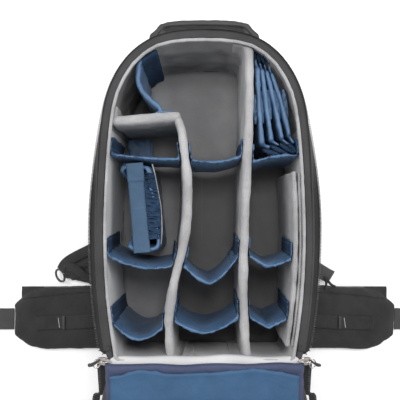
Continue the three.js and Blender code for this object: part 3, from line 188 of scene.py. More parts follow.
def soft_copy(node, voxel, relax, keep=1.0):
    """The form of a CAD node in even small faces, this share of them kept, its edges rounded."""
    bm = bmesh.new()
    bm.from_mesh(nodes[node].data)
    bmesh.ops.remove_doubles(bm, verts=bm.verts, dist=0.00001)
    piece = in_scene(node + "_cloth", bm)
    even = piece.modifiers.new("even_faces", "REMESH")
    even.mode = "VOXEL"
    even.voxel_size = voxel
    fewer = piece.modifiers.new("fewer_faces", "DECIMATE")
    fewer.ratio = keep
    round_off = piece.modifiers.new("round_off", "SMOOTH")
    round_off.factor = 0.5
    round_off.iterations = relax
    made = bpy.data.meshes.new_from_object(
        piece.evaluated_get(bpy.context.evaluated_depsgraph_get())
    )
    piece.modifiers.clear()
    piece.data = made
    made.materials.clear()
    made.polygons.foreach_set("use_smooth", [True] * len(made.polygons))
    return piece


def crease(piece, depth, cell, where=None, ridged=False, seed=0.0):
    """Folds and puckers: push points along their normals by noise whose cells have this size."""
    mesh = piece.data
    normals = [vertex.normal.copy() for vertex in mesh.vertices]
    for vertex, normal in zip(mesh.vertices, normals):
        co = vertex.co
        share = where(co) if where else 1.0
        if share <= 0.0:
            continue
        spot = Vector((co.x / cell[0], co.y / cell[1], co.z / cell[2] + seed))
        value = noise.noise(spot)
        if ridged:
            value = 0.6 - 2.0 * abs(value)
        vertex.co = co + normal * (depth * share * value)
    mesh.update()


def pad_out(piece, amount, where):
    """Push points along their normals by amount times what where() says of each."""
    normals = [vertex.normal.copy() for vertex in piece.data.vertices]
    for vertex, normal in zip(piece.data.vertices, normals):
        vertex.co = vertex.co + normal * (amount * where(vertex.co))
    piece.data.update()


def finish_piece(piece, material, node=None):
    """Give a piece its material, hang it from the root body, and hide the CAD node it stands for."""
    piece.data.materials.clear()
    piece.data.materials.append(material)
    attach(piece, "root")
    if node:
        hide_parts(node)


ballistic = cloth("dark_ballistic_nylon", (0.052, 0.052, 0.056), (0.03, 0.03, 0.033), 1.1)
shell = soft_copy("shell", 0.005, 3, 0.7)
crease(shell, SHELL_CREASE, (0.05, 0.05, 0.03))
finish_piece(shell, ballistic, "shell")

# Lining: grey cloth sewn into the tub in two kinds, a smooth nylon on the floor and round the crown,
# and a light brushed loop cloth on the side walls that the dividers' hook tabs grip.
LINING_STATIONS = 290
FLOOR_RINGS = 20
WALL_RINGS = 32
SEAM_RADIUS = 0.006
LINING_THICKNESS = 0.0016
CROWN_FOLD = 0.006
LINING_WAVE = 0.0012
NYLON_WALL_FROM_Y = 0.1
# The painted shade on the floor nylon: how much colour it keeps, and where up the bag it fades out.
PAINTED_SHADE_KEPT = 0.42
PAINTED_SHADE_FADE_Y = (0.06, 0.082)
loop_grey = cloth(
    "light_loop_cloth", (0.475, 0.473, 0.48), (0.25, 0.248, 0.254), 1.3, 0.9, roughness=0.95, sheen=0.2
)
# The walls take a lighter copy of the light loop cloth, which paints light on the lining's walls and the
# hinge strip.
painted_light_wall_grey = cloth(
    "brushed_wall_cloth_painted_light", (0.58, 0.578, 0.585), (0.47, 0.468, 0.475), 0.9, roughness=0.95, sheen=0.2
)
satin_grey = cloth(
    "grey_satin_nylon", (0.3, 0.297, 0.301), (0.21, 0.207, 0.211), 0.7, roughness=0.46
)


def paint_shade_on(finish, mark, share):
    """Paint shade on a cloth: darken it to this share of its colour where a mesh mark is full."""
    tree = finish.node_tree
    surface = tree.nodes["Principled BSDF"]
    dye = surface.inputs["Base Color"].links[0].from_socket
    marked = shader_node(tree, "Attribute", {}, attribute_name=mark).outputs["Fac"]
    kept = shader_node(tree, "MapRange", {0: marked, 1: 0.0, 2: 1.0, 3: 1.0, 4: share}).outputs[0]
    darker = shader_node(tree, "VectorMath", {0: dye, "Scale": kept}, operation="SCALE")
    tree.links.new(darker.outputs[0], surface.inputs["Base Color"])


def mark_points(piece, mark, amount):
    """Store what amount(point) says from 0 to 1 for each point of a piece."""
    layer = piece.data.attributes.new(mark, "FLOAT", "POINT")
    for vertex in piece.data.vertices:
        layer.data[vertex.index].value = amount(vertex.co)


def ease(value, low, high):
    """A smooth step from 0 at low to 1 at high."""
    share = min(max((value - low) / (high - low), 0.0), 1.0)
    return share * share * (3 - 2 * share)


# Painted shade: the grey nylon is darkened wherever the lining's shade mark is full.
paint_shade_on(satin_grey, "shade", PAINTED_SHADE_KEPT)
MIDDLE = Vector((0.0, -0.02, 0.0))


def merged_tree(node):
    """A search tree over a CAD node's faces."""
    bm = bmesh.new()
    bm.from_mesh(nodes[node].data)
    bmesh.ops.remove_doubles(bm, verts=bm.verts, dist=0.00001)
    tree = BVHTree.FromBMesh(bm)
    bm.free()
    return tree


def aim_at(turn):
    """The level direction at this turn."""
    return Vector((math.cos(turn), math.sin(turn), 0))


lining_tree = merged_tree("lining")
FLOOR_Z = lining_tree.ray_cast(MIDDLE + Vector((0, 0, 0.15)), Vector((0, 0, -1)))[0].z
WALL_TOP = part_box("lining")[1].z


def wall_reach(turn, z):
    """How far the lining's inner wall lies from the middle, at this turn and height."""
    return lining_tree.ray_cast(Vector((MIDDLE.x, MIDDLE.y, z)), aim_at(turn))[3]


bm = bmesh.new()
rings = FLOOR_RINGS + WALL_RINGS
bmesh.ops.create_grid(bm, x_segments=LINING_STATIONS, y_segments=rings, size=0.5)
for vert in bm.verts:
    turn = (vert.co.x + 0.5) * math.tau
    ring = (vert.co.y + 0.5) * rings
    z = FLOOR_Z
    if ring <= FLOOR_RINGS:
        reach = (wall_reach(turn, z + SEAM_RADIUS) - SEAM_RADIUS) * ring / FLOOR_RINGS
    else:
        z += (ring - FLOOR_RINGS) / WALL_RINGS * (WALL_TOP - FLOOR_Z - 0.001)
        rise = min((z - FLOOR_Z) / SEAM_RADIUS, 1.0)
        reach = wall_reach(turn, max(z, FLOOR_Z + 0.001))
        reach -= SEAM_RADIUS * (1 - math.sqrt(1 - (1 - rise) ** 2))
    vert.co = Vector((MIDDLE.x, MIDDLE.y, z)) + aim_at(turn) * reach
bmesh.ops.remove_doubles(bm, verts=bm.verts, dist=0.00005)
bmesh.ops.recalc_face_normals(bm, faces=bm.faces)
if sum(face.normal.z for face in bm.faces) < 0:
    bmesh.ops.reverse_faces(bm, faces=bm.faces)
lining = in_scene("lining_cloth", bm)


def crown_slack(co):
    """Where the lining is loose: up the crown's wall, most at half height and right of the corner."""
    if co.z < FLOOR_Z + 0.012 or co.y < 0.1:
        return 0.0
    up = (co.z - FLOOR_Z) / (WALL_TOP - FLOOR_Z)
    free = 0.55 + 0.45 * ease(co.x, -0.075, -0.045)
    return free * min(1.0, (co.y - 0.1) / 0.05) * math.sin(math.pi * min(up, 1.0) ** 0.8)


pad_out(lining, CROWN_FOLD, crown_slack)
crease(lining, -CROWN_FOLD, (0.042, 0.05, 0.03), crown_slack, ridged=True, seed=3.0)
crease(lining, LINING_WAVE, (0.05, 0.06, 0.05))
lining_face = BVHTree.FromObject(lining, bpy.context.evaluated_depsgraph_get())
backing = lining.modifiers.new("backing", "SOLIDIFY")
backing.thickness = LINING_THICKNESS
backing.offset = -1.0
finish_piece(lining, satin_grey, "lining")
# The side and foot walls get the lighter copy of the loop cloth: painted light.
lining.data.materials.append(painted_light_wall_grey)
for face in lining.data.polygons:
    if face.center.z > FLOOR_Z + 0.004 and face.center.y < NYLON_WALL_FROM_Y:
        face.material_index = 1
divider_tree = merged_tree("long_divider_left")


def painted_floor_shade(co):
    """Painted shade, partly also the back panel's own darker tone, below the upper bays; painted shade
    alone in the upper corner and the crown's hollow.
    """
    side = divider_tree.ray_cast(Vector((-0.2, co.y, FLOOR_Z + 0.02)), Vector((1, 0, 0)))
    edge = side[0].x + 0.008 if side[0] else -0.045
    lower = 1 - ease(co.y, *PAINTED_SHADE_FADE_Y)
    corner = ease(co.y, 0.11, 0.15) * ease(-co.x, 0.085, 0.1)
    up = (co.z - FLOOR_Z) / (WALL_TOP - FLOOR_Z)
    wave = 0.012 * noise.noise(co * 30)
    hollow = ease(up, 0.02, 0.12) * (1 - ease(up + wave * 8, 0.62, 0.8))
    hollow *= ease(co.x + wave, -0.075, -0.055) * (1 - ease(co.x, 0.034, 0.042))
    patch = 0.75 + 1.3 * noise.noise(Vector((co.x * 26, co.y * 26, up * 2.6)))
    hollow *= ease(co.y, 0.15, 0.17) * min(max(patch, 0.15), 1.0)
    return max(lower * ease(co.x, edge - 0.004, edge + 0.004), 0.8 * corner, hollow)


# The shade mark holds painted shade below the upper bays, in the upper corner and in the crown's hollow.
mark_points(lining, "shade", painted_floor_shade)

# The lining's seams: a dark tape round the floor's edge and rows of grey thread down the back panel.
SEAM_TAPE_RADIUS = 0.0009
SEAM_TAPE_INSET = 0.0022
SEAM_TAPE_LIFT = 0.0018
thread_grey = cloth("grey_thread", (0.34, 0.34, 0.35), (0.24, 0.24, 0.25), 0.5)
thread_dark = cloth("dark_thread", (0.05, 0.05, 0.052), (0.03, 0.03, 0.031), 0.5)
thread_blue = cloth("blue_thread", (0.13, 0.21, 0.34), (0.08, 0.14, 0.24), 0.5)
seam_dark = cloth("dark_seam_tape", (0.09, 0.09, 0.092), (0.06, 0.06, 0.062), 0.7)


def tube(name, points, radius, wobble=0.0, sides=4, closed=False):
    """A round cord of cloth or wire through these points, with closed ends."""
    line = bpy.data.curves.new(name, "CURVE")
    line.dimensions = "3D"
    line.bevel_depth = radius
    line.bevel_resolution = sides
    line.use_fill_caps = not closed
    run = line.splines.new("POLY")
    run.points.add(len(points) - 1)
    run.use_cyclic_u = closed
    for knot, spot in zip(run.points, points):
        knot.co = (*spot, 1)
        knot.radius = 1 + wobble * noise.noise(Vector(spot) * 120)
    carrier = bpy.data.objects.new(name, line)
    scene.collection.objects.link(carrier)
    mesh = bpy.data.meshes.new_from_object(
        carrier.evaluated_get(bpy.context.evaluated_depsgraph_get())
    )
    bpy.data.objects.remove(carrier)
    bm = bmesh.new()
    bm.from_mesh(mesh)
    bmesh.ops.remove_doubles(bm, verts=bm.verts, dist=0.00001)
    bmesh.ops.recalc_face_normals(bm, faces=bm.faces)
    return in_scene(name, bm)


def sew(name, runs, surface, material, stitch=3.4, pitch=4.6, thread=0.55):
    """Rows of stitches in mm, each run of points drawn on to the nearest place on a surface."""
    bm = bmesh.new()
    for run in runs:
        run = [Vector(spot) for spot in run]
        left = pitch / 2000
        for start, end in zip(run, run[1:]):
            step = end - start
            while left < step.length:
                near, normal, _, _ = surface.find_nearest(start + step.normalized() * left)
                left += pitch / 1000
                along = (step - normal * step.dot(normal)).normalized()
                across = normal.cross(along)
                frame_of = Matrix((along, across, normal)).transposed().to_4x4()
                size = Matrix.Diagonal((stitch / 2000, thread / 2000, thread / 2000, 1))
                bmesh.ops.create_icosphere(
                    bm, subdivisions=1, radius=1, matrix=Matrix.Translation(near) @ frame_of @ size
                )
            left -= step.length
    row = in_scene(name, bm)
    finish_piece(row, material)
    return row


floor_seam = []
for i in range(LINING_STATIONS):
    turn = math.tau * i / LINING_STATIONS
    reach = wall_reach(turn, FLOOR_Z + SEAM_RADIUS) - SEAM_TAPE_INSET
    wave = 0.0006 * noise.noise(aim_at(turn) * 22)
    z = FLOOR_Z + SEAM_TAPE_LIFT + wave
    floor_seam.append(Vector((MIDDLE.x, MIDDLE.y, z)) + aim_at(turn) * reach)
seam_tape = tube("lining_floor_seam", floor_seam, SEAM_TAPE_RADIUS, 0.4, 2, closed=True)
finish_piece(seam_tape, seam_dark)
BACK_PANEL_SEAMS = (
    # x, y from, y to
    (0.0475, 0.208, 0.07),
    (0.0445, 0.208, 0.07),
    (-0.004, 0.04, -0.07),
    (-0.102, 0.1, 0.06),
)
sew(
    "back_panel_stitches",
    [[(x, start, FLOOR_Z), (x, end, FLOOR_Z)] for x, start, end in BACK_PANEL_SEAMS],
    lining_face,
    thread_grey,
)

# Rim: a flat band of grey edge cloth over the top of the padded wall, stitched near both its edges,
# with a roll of light lining sewn round inside it.
RIM_STATIONS = 400
RIM_EASING = 40
BAND_WIDTH = 0.0118
BAND_CLOTH = 0.0012
BAND_SEAM_INSETS = (0.0016, 0.0102)
PIPING_RADIUS = 0.0025
edge_grey = cloth("edge_cloth", (0.046, 0.0455, 0.048), (0.024, 0.0238, 0.025), 1.0)
band_tree = merged_tree("rim_band")
rim_edge = []
for i in range(RIM_STATIONS):
    turn = -math.pi / 2 + math.tau * (i + 0.5) / RIM_STATIONS
    far = Vector((MIDDLE.x, MIDDLE.y, RIM_Z - 0.0012)) + aim_at(turn)
    hit = band_tree.ray_cast(far, -aim_at(turn), 0.9)
    if hit[0] and (hit[0] - far).length < 0.95:
        rim_edge.append(hit[0])
for _ in range(RIM_EASING):
    eased = [rim_edge[0]]
    for before, spot, after in zip(rim_edge, rim_edge[1:], rim_edge[2:]):
        eased.append(spot.lerp((before + after) / 2, 0.5 * ease(spot.y, -0.2, -0.14)))
    rim_edge = [*eased, rim_edge[-1]]
rim_out = []
for i, spot in enumerate(rim_edge):
    run = rim_edge[min(i + 1, len(rim_edge) - 1)] - rim_edge[max(i - 1, 0)]
    rim_out.append(Vector((run.y, -run.x, 0)).normalized())


def rim_point(place, out, z):
    """A point of the rim: its place from 0 to 1 round the zip, how far outside the edge, and z."""
    along = place * (len(rim_edge) - 1)
    low = min(int(along), len(rim_edge) - 2)
    spot = rim_edge[low].lerp(rim_edge[low + 1], along - low)
    away = rim_out[low].lerp(rim_out[low + 1], along - low)
    return Vector((spot.x + away.x * out, spot.y + away.y * out, z))


def laid_cloth(name, columns, rows, spot, thickness, offset=-1.0):
    """A cloth whose grid points go where spot(along, across) says, given its thickness."""
    bm = bmesh.new()
    bmesh.ops.create_grid(bm, x_segments=columns, y_segments=rows, size=0.5)
    for vert in bm.verts:
        vert.co = spot(vert.co.x + 0.5, vert.co.y + 0.5)
    bmesh.ops.recalc_face_normals(bm, faces=bm.faces)
    if sum(face.normal.z * face.calc_area() for face in bm.faces) < 0:
        bmesh.ops.reverse_faces(bm, faces=bm.faces)
    piece = in_scene(name, bm)
    backing = piece.modifiers.new("backing", "SOLIDIFY")
    backing.thickness = thickness
    backing.offset = offset
    return piece


def band_spot(along, across):
    """The band crowns a little between its stitched edges and dips to each side."""
    swell = 0.0007 * math.sin(math.pi * across) ** 0.6 - 0.0006
    ripple = 0.00025 * noise.noise(rim_point(along, 0, 0) * 90)
    return rim_point(along, -BAND_WIDTH * (1 - across) - 0.0001, RIM_Z + swell + ripple)


band = laid_cloth("rim_band_cloth", RIM_STATIONS, 12, band_spot, BAND_CLOTH)
band_face = BVHTree.FromObject(band, bpy.context.evaluated_depsgraph_get())
finish_piece(band, edge_grey, "rim_band")
places = [i / RIM_STATIONS for i in range(RIM_STATIONS + 1)]
sew(
    "rim_band_stitches",
    [[rim_point(place, -inset, RIM_Z) for place in places] for inset in BAND_SEAM_INSETS],
    band_face,
    thread_dark,
)


def cut_points(node, turn, middle=MIDDLE):
    """The points where the upright half plane at this turn from a middle cuts a CAD node."""
    aim = aim_at(turn)
    side = Vector((-aim.y, aim.x, 0))
    found = []
    mesh = nodes[node].data
    corners = [vertex.co - middle for vertex in mesh.vertices]
    away = [corner.dot(side) for corner in corners]
    for edge in mesh.edges:
        a, b = edge.vertices
        if (away[a] < 0) == (away[b] < 0):
            continue
        spot = corners[a].lerp(corners[b], away[a] / (away[a] - away[b]))
        if spot.dot(aim) > 0:
            found.append(spot + middle)
    return found


piping_line = []
for i in range(RIM_STATIONS):
    ring = cut_points("rim_piping", -math.pi / 2 + math.tau * (i + 0.5) / RIM_STATIONS)
    if ring:
        piping_line.append(sum(ring, Vector()) / len(ring))
piping = tube("rim_piping_roll", piping_line, PIPING_RADIUS, wobble=0.14, sides=5, closed=True)
finish_piece(piping, loop_grey, "rim_piping")

# Main zip: a black tape sewn under the band's outer edge, standing out at the sides and folded down
# round the crown, with a spiral nylon coil along its free edge.
TAPE_REACH = 0.0102
RIGHT_SPREAD = 0.0034
TAPE_ROOT_IN = 0.004
TAPE_ROOT = RIM_Z - 0.0024
TAPE_CLOTH = 0.001
COIL_PITCH = 0.0026
COIL_INSET = 0.0006
COIL_LIFT = 0.0014
COIL_RIB = (0.0025, 0.00088, 0.0016, 1)
zip_black = cloth("zip_tape", (0.022, 0.022, 0.023), (0.012, 0.012, 0.013), 0.7, shine=0.3)


def hard(name, colour, shade, roughness, metallic, grain, shine=0.5):
    """A hard surface: its two tones, how rough and metallic it is, and its grain per metre."""
    finish = bpy.data.materials.new(name)
    finish.use_nodes = True
    tree = finish.node_tree
    surface = tree.nodes["Principled BSDF"]
    surface.inputs["Metallic"].default_value = metallic
    surface.inputs["Specular IOR Level"].default_value = shine
    place = shader_node(tree, "TexCoord").outputs["Object"]
    wear = shader_node(
        tree, "TexNoise", {"Vector": place, "Scale": grain, "Detail": 3.0}
    ).outputs["Fac"]
    tone = shader_node(tree, "ValToRGB", {"Fac": wear})
    tone.color_ramp.elements[0].position = 0.35
    tone.color_ramp.elements[0].color = (*shade, 1)
    tone.color_ramp.elements[1].position = 0.65
    tone.color_ramp.elements[1].color = (*colour, 1)
    gloss = shader_node(
        tree, "MapRange", {0: wear, 1: 0.3, 2: 0.7, 3: roughness * 1.3, 4: roughness * 0.8}
    )
    pits = shader_node(tree, "TexNoise", {"Vector": place, "Scale": grain * 12, "Detail": 2.0})
    bump = shader_node(
        tree, "Bump", {"Height": pits.outputs["Fac"], "Distance": 0.00005, "Strength": 0.5}
    )
    tree.links.new(tone.outputs["Color"], surface.inputs["Base Color"])
    tree.links.new(gloss.outputs[0], surface.inputs["Roughness"])
    tree.links.new(bump.outputs["Normal"], surface.inputs["Normal"])
    return finish


coil_black = hard("zip_coil_nylon", (0.085, 0.085, 0.087), (0.04, 0.04, 0.041), 0.6, 0.0, 160.0, 0.2)


def tape_droop(y):
    """How far the tape is folded down at this place up the bag."""
    share = min(max((y / 0.244 + 0.15) / 0.75, 0), 1)
    return math.radians(36 + 46 * share * share * (3 - 2 * share))


def zip_spot(place, reach, lift):
    """A point of the zip's section, reach along the tape and lift off it."""
    droop = tape_droop(rim_point(place, 0, 0).y)
    reach *= ease(place, -0.012, 0.012) * ease(1 - place, -0.012, 0.012)
    if rim_point(place, 0, 0).x > 0:
        reach *= 1 + RIGHT_SPREAD / TAPE_REACH * math.sin(math.pi * place)
    out = 0.0004 + reach * math.cos(droop) + lift * math.sin(droop)
    return rim_point(place, out, TAPE_ROOT - reach * math.sin(droop) + lift * math.cos(droop))


def coil_ribs(name, middles, outs, material):
    """The coil's ribs: one small pill for each turn, laid across the tape's edge."""
    bm = bmesh.new()
    for low, high, out in zip(middles, middles[1:], outs):
        along = (high - low).normalized()
        up = out.cross(along).normalized()
        turn = Matrix((out, along, up)).transposed().to_4x4()
        size = Matrix.Diagonal(COIL_RIB)
        bmesh.ops.create_icosphere(
            bm, subdivisions=1, radius=1, matrix=Matrix.Translation((low + high) / 2) @ turn @ size
        )
    return in_scene(name, bm)


tape = laid_cloth(
    "zip_body_tape",
    RIM_STATIONS,
    6,
    lambda along, across: zip_spot(along, across * (TAPE_REACH + TAPE_ROOT_IN) - TAPE_ROOT_IN, 0.0),
    TAPE_CLOTH,
)
finish_piece(tape, zip_black, "zip_body")
rim_length = sum((b - a).length for a, b in zip(rim_edge, rim_edge[1:]))
ribs = int(rim_length / COIL_PITCH)
coil_middles = [zip_spot(i / ribs, TAPE_REACH - COIL_INSET, COIL_LIFT) for i in range(ribs + 1)]
coil_outs = [
    (zip_spot(i / ribs, 0.01, 0) - zip_spot(i / ribs, 0, 0)).normalized() for i in range(ribs)
]
coil = coil_ribs("zip_body_coil", coil_middles, coil_outs, coil_black)
finish_piece(coil, coil_black, "zip_body")

# Top handle: a flat pad of smooth webbing bowed out from the crown, its ends folded flat and stitched
# to the shell on two patches.
HANDLE_END_REACH = 0.006
HANDLE_BOW = (0.0008, 0.0062)
HANDLE_SEAM_INSET = 0.004
webbing_black = cloth(
    "ribbed_webbing", (0.05, 0.05, 0.052), (0.022, 0.022, 0.023), 1.6, roughness=0.6, sheen=0.1
)
handle = soft_copy("top_handle", 0.0022, 5)
handle_low, handle_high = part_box("top_handle")
for vertex in handle.data.vertices:
    reach = abs(vertex.co.x) / handle_high.x
    square = HANDLE_END_REACH * ease(reach, 0.75, 0.9) * (1 - ease(reach, 0.95, 1.0))
    vertex.co.x += math.copysign(square, vertex.co.x)
    vertex.co.y += HANDLE_BOW[0] - HANDLE_BOW[1] * reach * reach
handle.data.update()
crease(handle, 0.0006, (0.012, 0.02, 0.02))
handle_face = BVHTree.FromObject(handle, bpy.context.evaluated_depsgraph_get())
finish_piece(handle, webbing_black, "top_handle")
sew(
    "top_handle_stitches",
    [
        [(x / 100, handle_high.y - HANDLE_BOW[1] * (x / 8.5) ** 2, z) for x in range(-8, 9)]
        for z in (handle_low.z + HANDLE_SEAM_INSET, handle_high.z - HANDLE_SEAM_INSET)
    ],
    handle_face,
    thread_dark,
)

# Lid: a padded nylon panel as long as the bag, joined at the foot by a strip of lining and hanging
# down to the floor. Its inside is blue nylon: a rolled border and a gathered pocket panel within it.
LID_ROOT_REACH = 0.016
LID_ROOT_NARROWING = 0.065
LID_ROOT_DROP = 0.002
BORDER_CLOTH = 0.0034
BORDER_ROLL = 0.0035
ROLL_MIDDLE_Y = -0.2475
PANEL_CLOTH = 0.0026
lid_blue = cloth(
    "lid_blue_nylon", (0.042, 0.108, 0.215), (0.026, 0.075, 0.155), 0.7,
    roughness=0.5, sheen=0.03, cloud=14.0, shine=0.35,
)
border_blue = cloth(
    "lid_border_nylon", (0.055, 0.068, 0.135), (0.032, 0.042, 0.085), 0.7,
    roughness=0.6, sheen=0.05, cloud=14.0, shine=0.35,
)
lid_shell = soft_copy("lid_shell", 0.005, 4)
crease(lid_shell, 0.0018, (0.05, 0.05, 0.05))
for vertex in lid_shell.data.vertices:
    share = ease(vertex.co.y, -0.31, -0.262)
    vertex.co.y += LID_ROOT_REACH * share
    vertex.co.x *= 1 - LID_ROOT_NARROWING * share
    vertex.co.z -= LID_ROOT_DROP * share
lid_shell.data.update()
finish_piece(lid_shell, ballistic, "lid_shell")


def lid_rows(node, pitch):
    """The lid's middle line over a CAD node, stepped evenly from root to tip, with its half widths."""
    tree = merged_tree(node)
    low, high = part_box(node)
    line = []
    y = high.y - 0.0006
    while y > low.y + 0.0006:
        hit = tree.ray_cast(Vector((0.0, y, 0.4)), Vector((0, 0, -1)))
        if hit[0]:
            line.append(hit[0])
        y -= 0.0008
    rows = []
    for spot in line:
        if rows and spot is not line[-1] and (spot - rows[-1][0]).length < pitch:
            continue
        side = tree.ray_cast(Vector((0.4, spot.y, spot.z - 0.0015)), Vector((-1, 0, 0)))
        rows.append((spot, side[0].x if side[0] else rows[-1][1]))
    return tree, rows


def lid_sheet(node, name, columns, pitch, thickness, roll, puff):
    """A lid cloth laid over its CAD node, its edge rolled down over roll and its middle puffed up."""
    tree, rows = lid_rows(node, pitch)

    def spot(along, across):
        place = along * (len(rows) - 1)
        low = min(int(place), len(rows) - 2)
        middle = rows[low][0].lerp(rows[low + 1][0], place - low)
        half = rows[low][1] + (rows[low + 1][1] - rows[low][1]) * (place - low)
        x = (across * 2 - 1) * half
        hit = tree.ray_cast(Vector((x * 0.998, middle.y, 0.4)), Vector((0, 0, -1)))
        z = hit[0].z if hit[0] else middle.z
        inset = min(half - abs(x), along * len(rows) * pitch, (1 - along) * len(rows) * pitch)
        edge = max(0.0, 1 - inset / roll)
        swell = puff * min(1.0, inset / 0.03) * (0.5 + noise.noise(Vector((x, middle.y, 7)) * 14))
        return Vector((x, middle.y, z - 0.7 * thickness * edge**3 + swell))

    return laid_cloth(name, len(rows) - 1, columns, spot, thickness)


lid_border = lid_sheet("lid_lining", "lid_lining_cloth", 62, 0.004, BORDER_CLOTH, 0.006, 0.0004)
crease(lid_border, 0.0014, (0.02, 0.012, 0.05))
for vertex in lid_border.data.vertices:
    away = (vertex.co.y - ROLL_MIDDLE_Y) / 0.0065
    wave = 0.7 + 0.8 * noise.noise(Vector((vertex.co.x * 22, 4.0, 1.0)))
    vertex.co.z += BORDER_ROLL * wave * math.exp(-away * away)
    if vertex.co.y > -0.262:
        vertex.co.y += 0.0032 * noise.noise(Vector((vertex.co.x * 14, 2.0, 6.0)))
lid_border.data.update()
border_face = BVHTree.FromObject(lid_border, bpy.context.evaluated_depsgraph_get())
finish_piece(lid_border, border_blue, "lid_lining")
lid_panel = lid_sheet("lid_pocket", "lid_pocket_cloth", 66, 0.0035, PANEL_CLOTH, 0.005, 0.0012)


def pocket_gather(co):
    """The panel is gathered most near its hem at the hinge end."""
    return 0.35 + max(0.0, 1 - (-0.262 - co.y) / 0.03)


crease(lid_panel, 0.0011, (0.014, 0.02, 0.05), pocket_gather, ridged=True)
HEM_SHARE_FROM = -0.292
HEM_LIFT = 0.0036
PANEL_HEM = (
    # x, how far the hem reaches up towards the hinge there
    (-0.16, -0.004),
    (-0.14, 0.0),
    (-0.088, 0.011),
    (-0.045, 0.005),
    (0.0, 0.0065),
    (0.075, 0.013),
    (0.105, 0.0085),
    (0.14, 0.001),
    (0.16, -0.004),
)


def hem_reach(x):
    """How far the scalloped hem reaches at x."""
    for (low, first), (high, last) in zip(PANEL_HEM, PANEL_HEM[1:]):
        if x <= high:
            share = (x - low) / (high - low)
            return first + (last - first) * share * share * (3 - 2 * share)
    return 0.0


for vertex in lid_panel.data.vertices:
    co = vertex.co
    if co.y < HEM_SHARE_FROM:
        continue
    share = (co.y - HEM_SHARE_FROM) / (-0.259 - HEM_SHARE_FROM)
    co.y += share * hem_reach(co.x)
    under = border_face.ray_cast(Vector((co.x, co.y, 0.4)), Vector((0, 0, -1)))
    if under[0]:
        flute = 0.5 + noise.noise(Vector((co.x * 55, 8.0, 3.0)))
        co.z += share * (under[0].z + 0.0024 + HEM_LIFT * flute * share**4 - co.z)
        co.y += 0.0022 * share**4 * noise.noise(Vector((co.x * 80, 1.0, 5.0)))
lid_panel.data.update()
finish_piece(lid_panel, lid_blue, "lid_pocket")

HINGE_HALF_WIDTH = 0.1405
HINGE_INNER_Y = -0.2315
HINGE_ROLL = 0.007
hinge_low, hinge_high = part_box("lid_hinge")


def hinge_spot(along, across):
    """The lining rolls over the foot wall and runs out to the lid, with soft folds across."""
    x = (2 * along - 1) * HINGE_HALF_WIDTH
    calm = 1 - abs(2 * along - 1) ** 4
    inner = HINGE_INNER_Y + 0.003 * calm * noise.noise(Vector((x * 16, 3.0, 5.0)))
    y = inner + across * (hinge_low.y - inner)
    fold = 0.0011 * noise.noise(Vector((x * 30, y * 50, 2.0)))
    drop = HINGE_ROLL * (1 - math.sqrt(1 - max(0.0, 1 - across / 0.3) ** 2))
    ends = 0.004 * abs(2 * along - 1) ** 14
    return Vector((x, y, hinge_high.z + 0.0012 + fold - drop - ends))


hinge = laid_cloth("lid_hinge_cloth", 120, 22, hinge_spot, 0.0014)
# The hinge strip takes the walls' lighter copy of the loop cloth, painted light as well.
finish_piece(hinge, painted_light_wall_grey, "lid_hinge")

# Lid zip: the other half of the main zip, its tape sewn round the lid's edge and its coil outside. At
# the hinge end both ends of the tape lead up to the sliders, tucked under the border.
LID_MIDDLE = Vector((0.0, -0.49, 0.0))
ZIP_LEAD_X = (0.1476, 0.1566)
ZIP_LEAD_Y = -0.2435
ZIP_LEAD_Z = 0.1898
ZIP_LEAD_STEPS = 16
ZIP_LEAD_TUCK = 0.013
lid_tape = []
for i in range(RIM_STATIONS):
    turn = math.pi / 2 + math.tau * (i + 0.5) / RIM_STATIONS
    cut = cut_points("zip_lid", turn, LID_MIDDLE)
    if len(cut) > 1:
        cut.sort(key=lambda spot: (spot - LID_MIDDLE).xy.length)
        lid_tape.append((cut[0], cut[-1]))
lead_left = []
lead_right = []
for step in range(ZIP_LEAD_STEPS):
    share = step / ZIP_LEAD_STEPS
    for side, lead, near in ((-1, lead_left, lid_tape[0]), (1, lead_right, lid_tape[-1])):
        far = [Vector((side * x, ZIP_LEAD_Y, ZIP_LEAD_Z)) for x in ZIP_LEAD_X]
        root, edge = (start.lerp(end, share) for start, end in zip(far, near))
        root.x -= side * ZIP_LEAD_TUCK
        lead.append((root, edge))
lid_tape = lead_left + lid_tape + lead_right[::-1]


def lid_tape_spot(along, across):
    """A point of the lid's tape, from its sewn edge out to its coil."""
    place = along * (len(lid_tape) - 1)
    low = min(int(place), len(lid_tape) - 2)
    root = lid_tape[low][0].lerp(lid_tape[low + 1][0], place - low)
    edge = lid_tape[low][1].lerp(lid_tape[low + 1][1], place - low)
    ripple = 0.0006 * noise.noise(edge * 60)
    return root.lerp(edge, across) + Vector((0, 0, ripple))


def even_steps(points, pitch):
    """Points spaced evenly along a line."""
    spaced = [points[0]]
    left = pitch
    for start, end in zip(points, points[1:]):
        step = end - start
        while left < step.length:
            spaced.append(start + step.normalized() * left)
            left += pitch
        left -= step.length
    return spaced


lid_zip = laid_cloth("zip_lid_tape", len(lid_tape) - 1, 4, lid_tape_spot, TAPE_CLOTH)
finish_piece(lid_zip, zip_black, "zip_lid")
lid_edge = even_steps([edge.lerp(root, 0.15) for root, edge in lid_tape], COIL_PITCH)
lid_outs = []
for low, high in zip(lid_edge, lid_edge[1:]):
    lid_outs.append(Vector((high.y - low.y, low.x - high.x, 0)).normalized())
lid_coil = coil_ribs("zip_lid_coil", lid_edge, lid_outs, coil_black)
finish_piece(lid_coil, coil_black, "zip_lid")

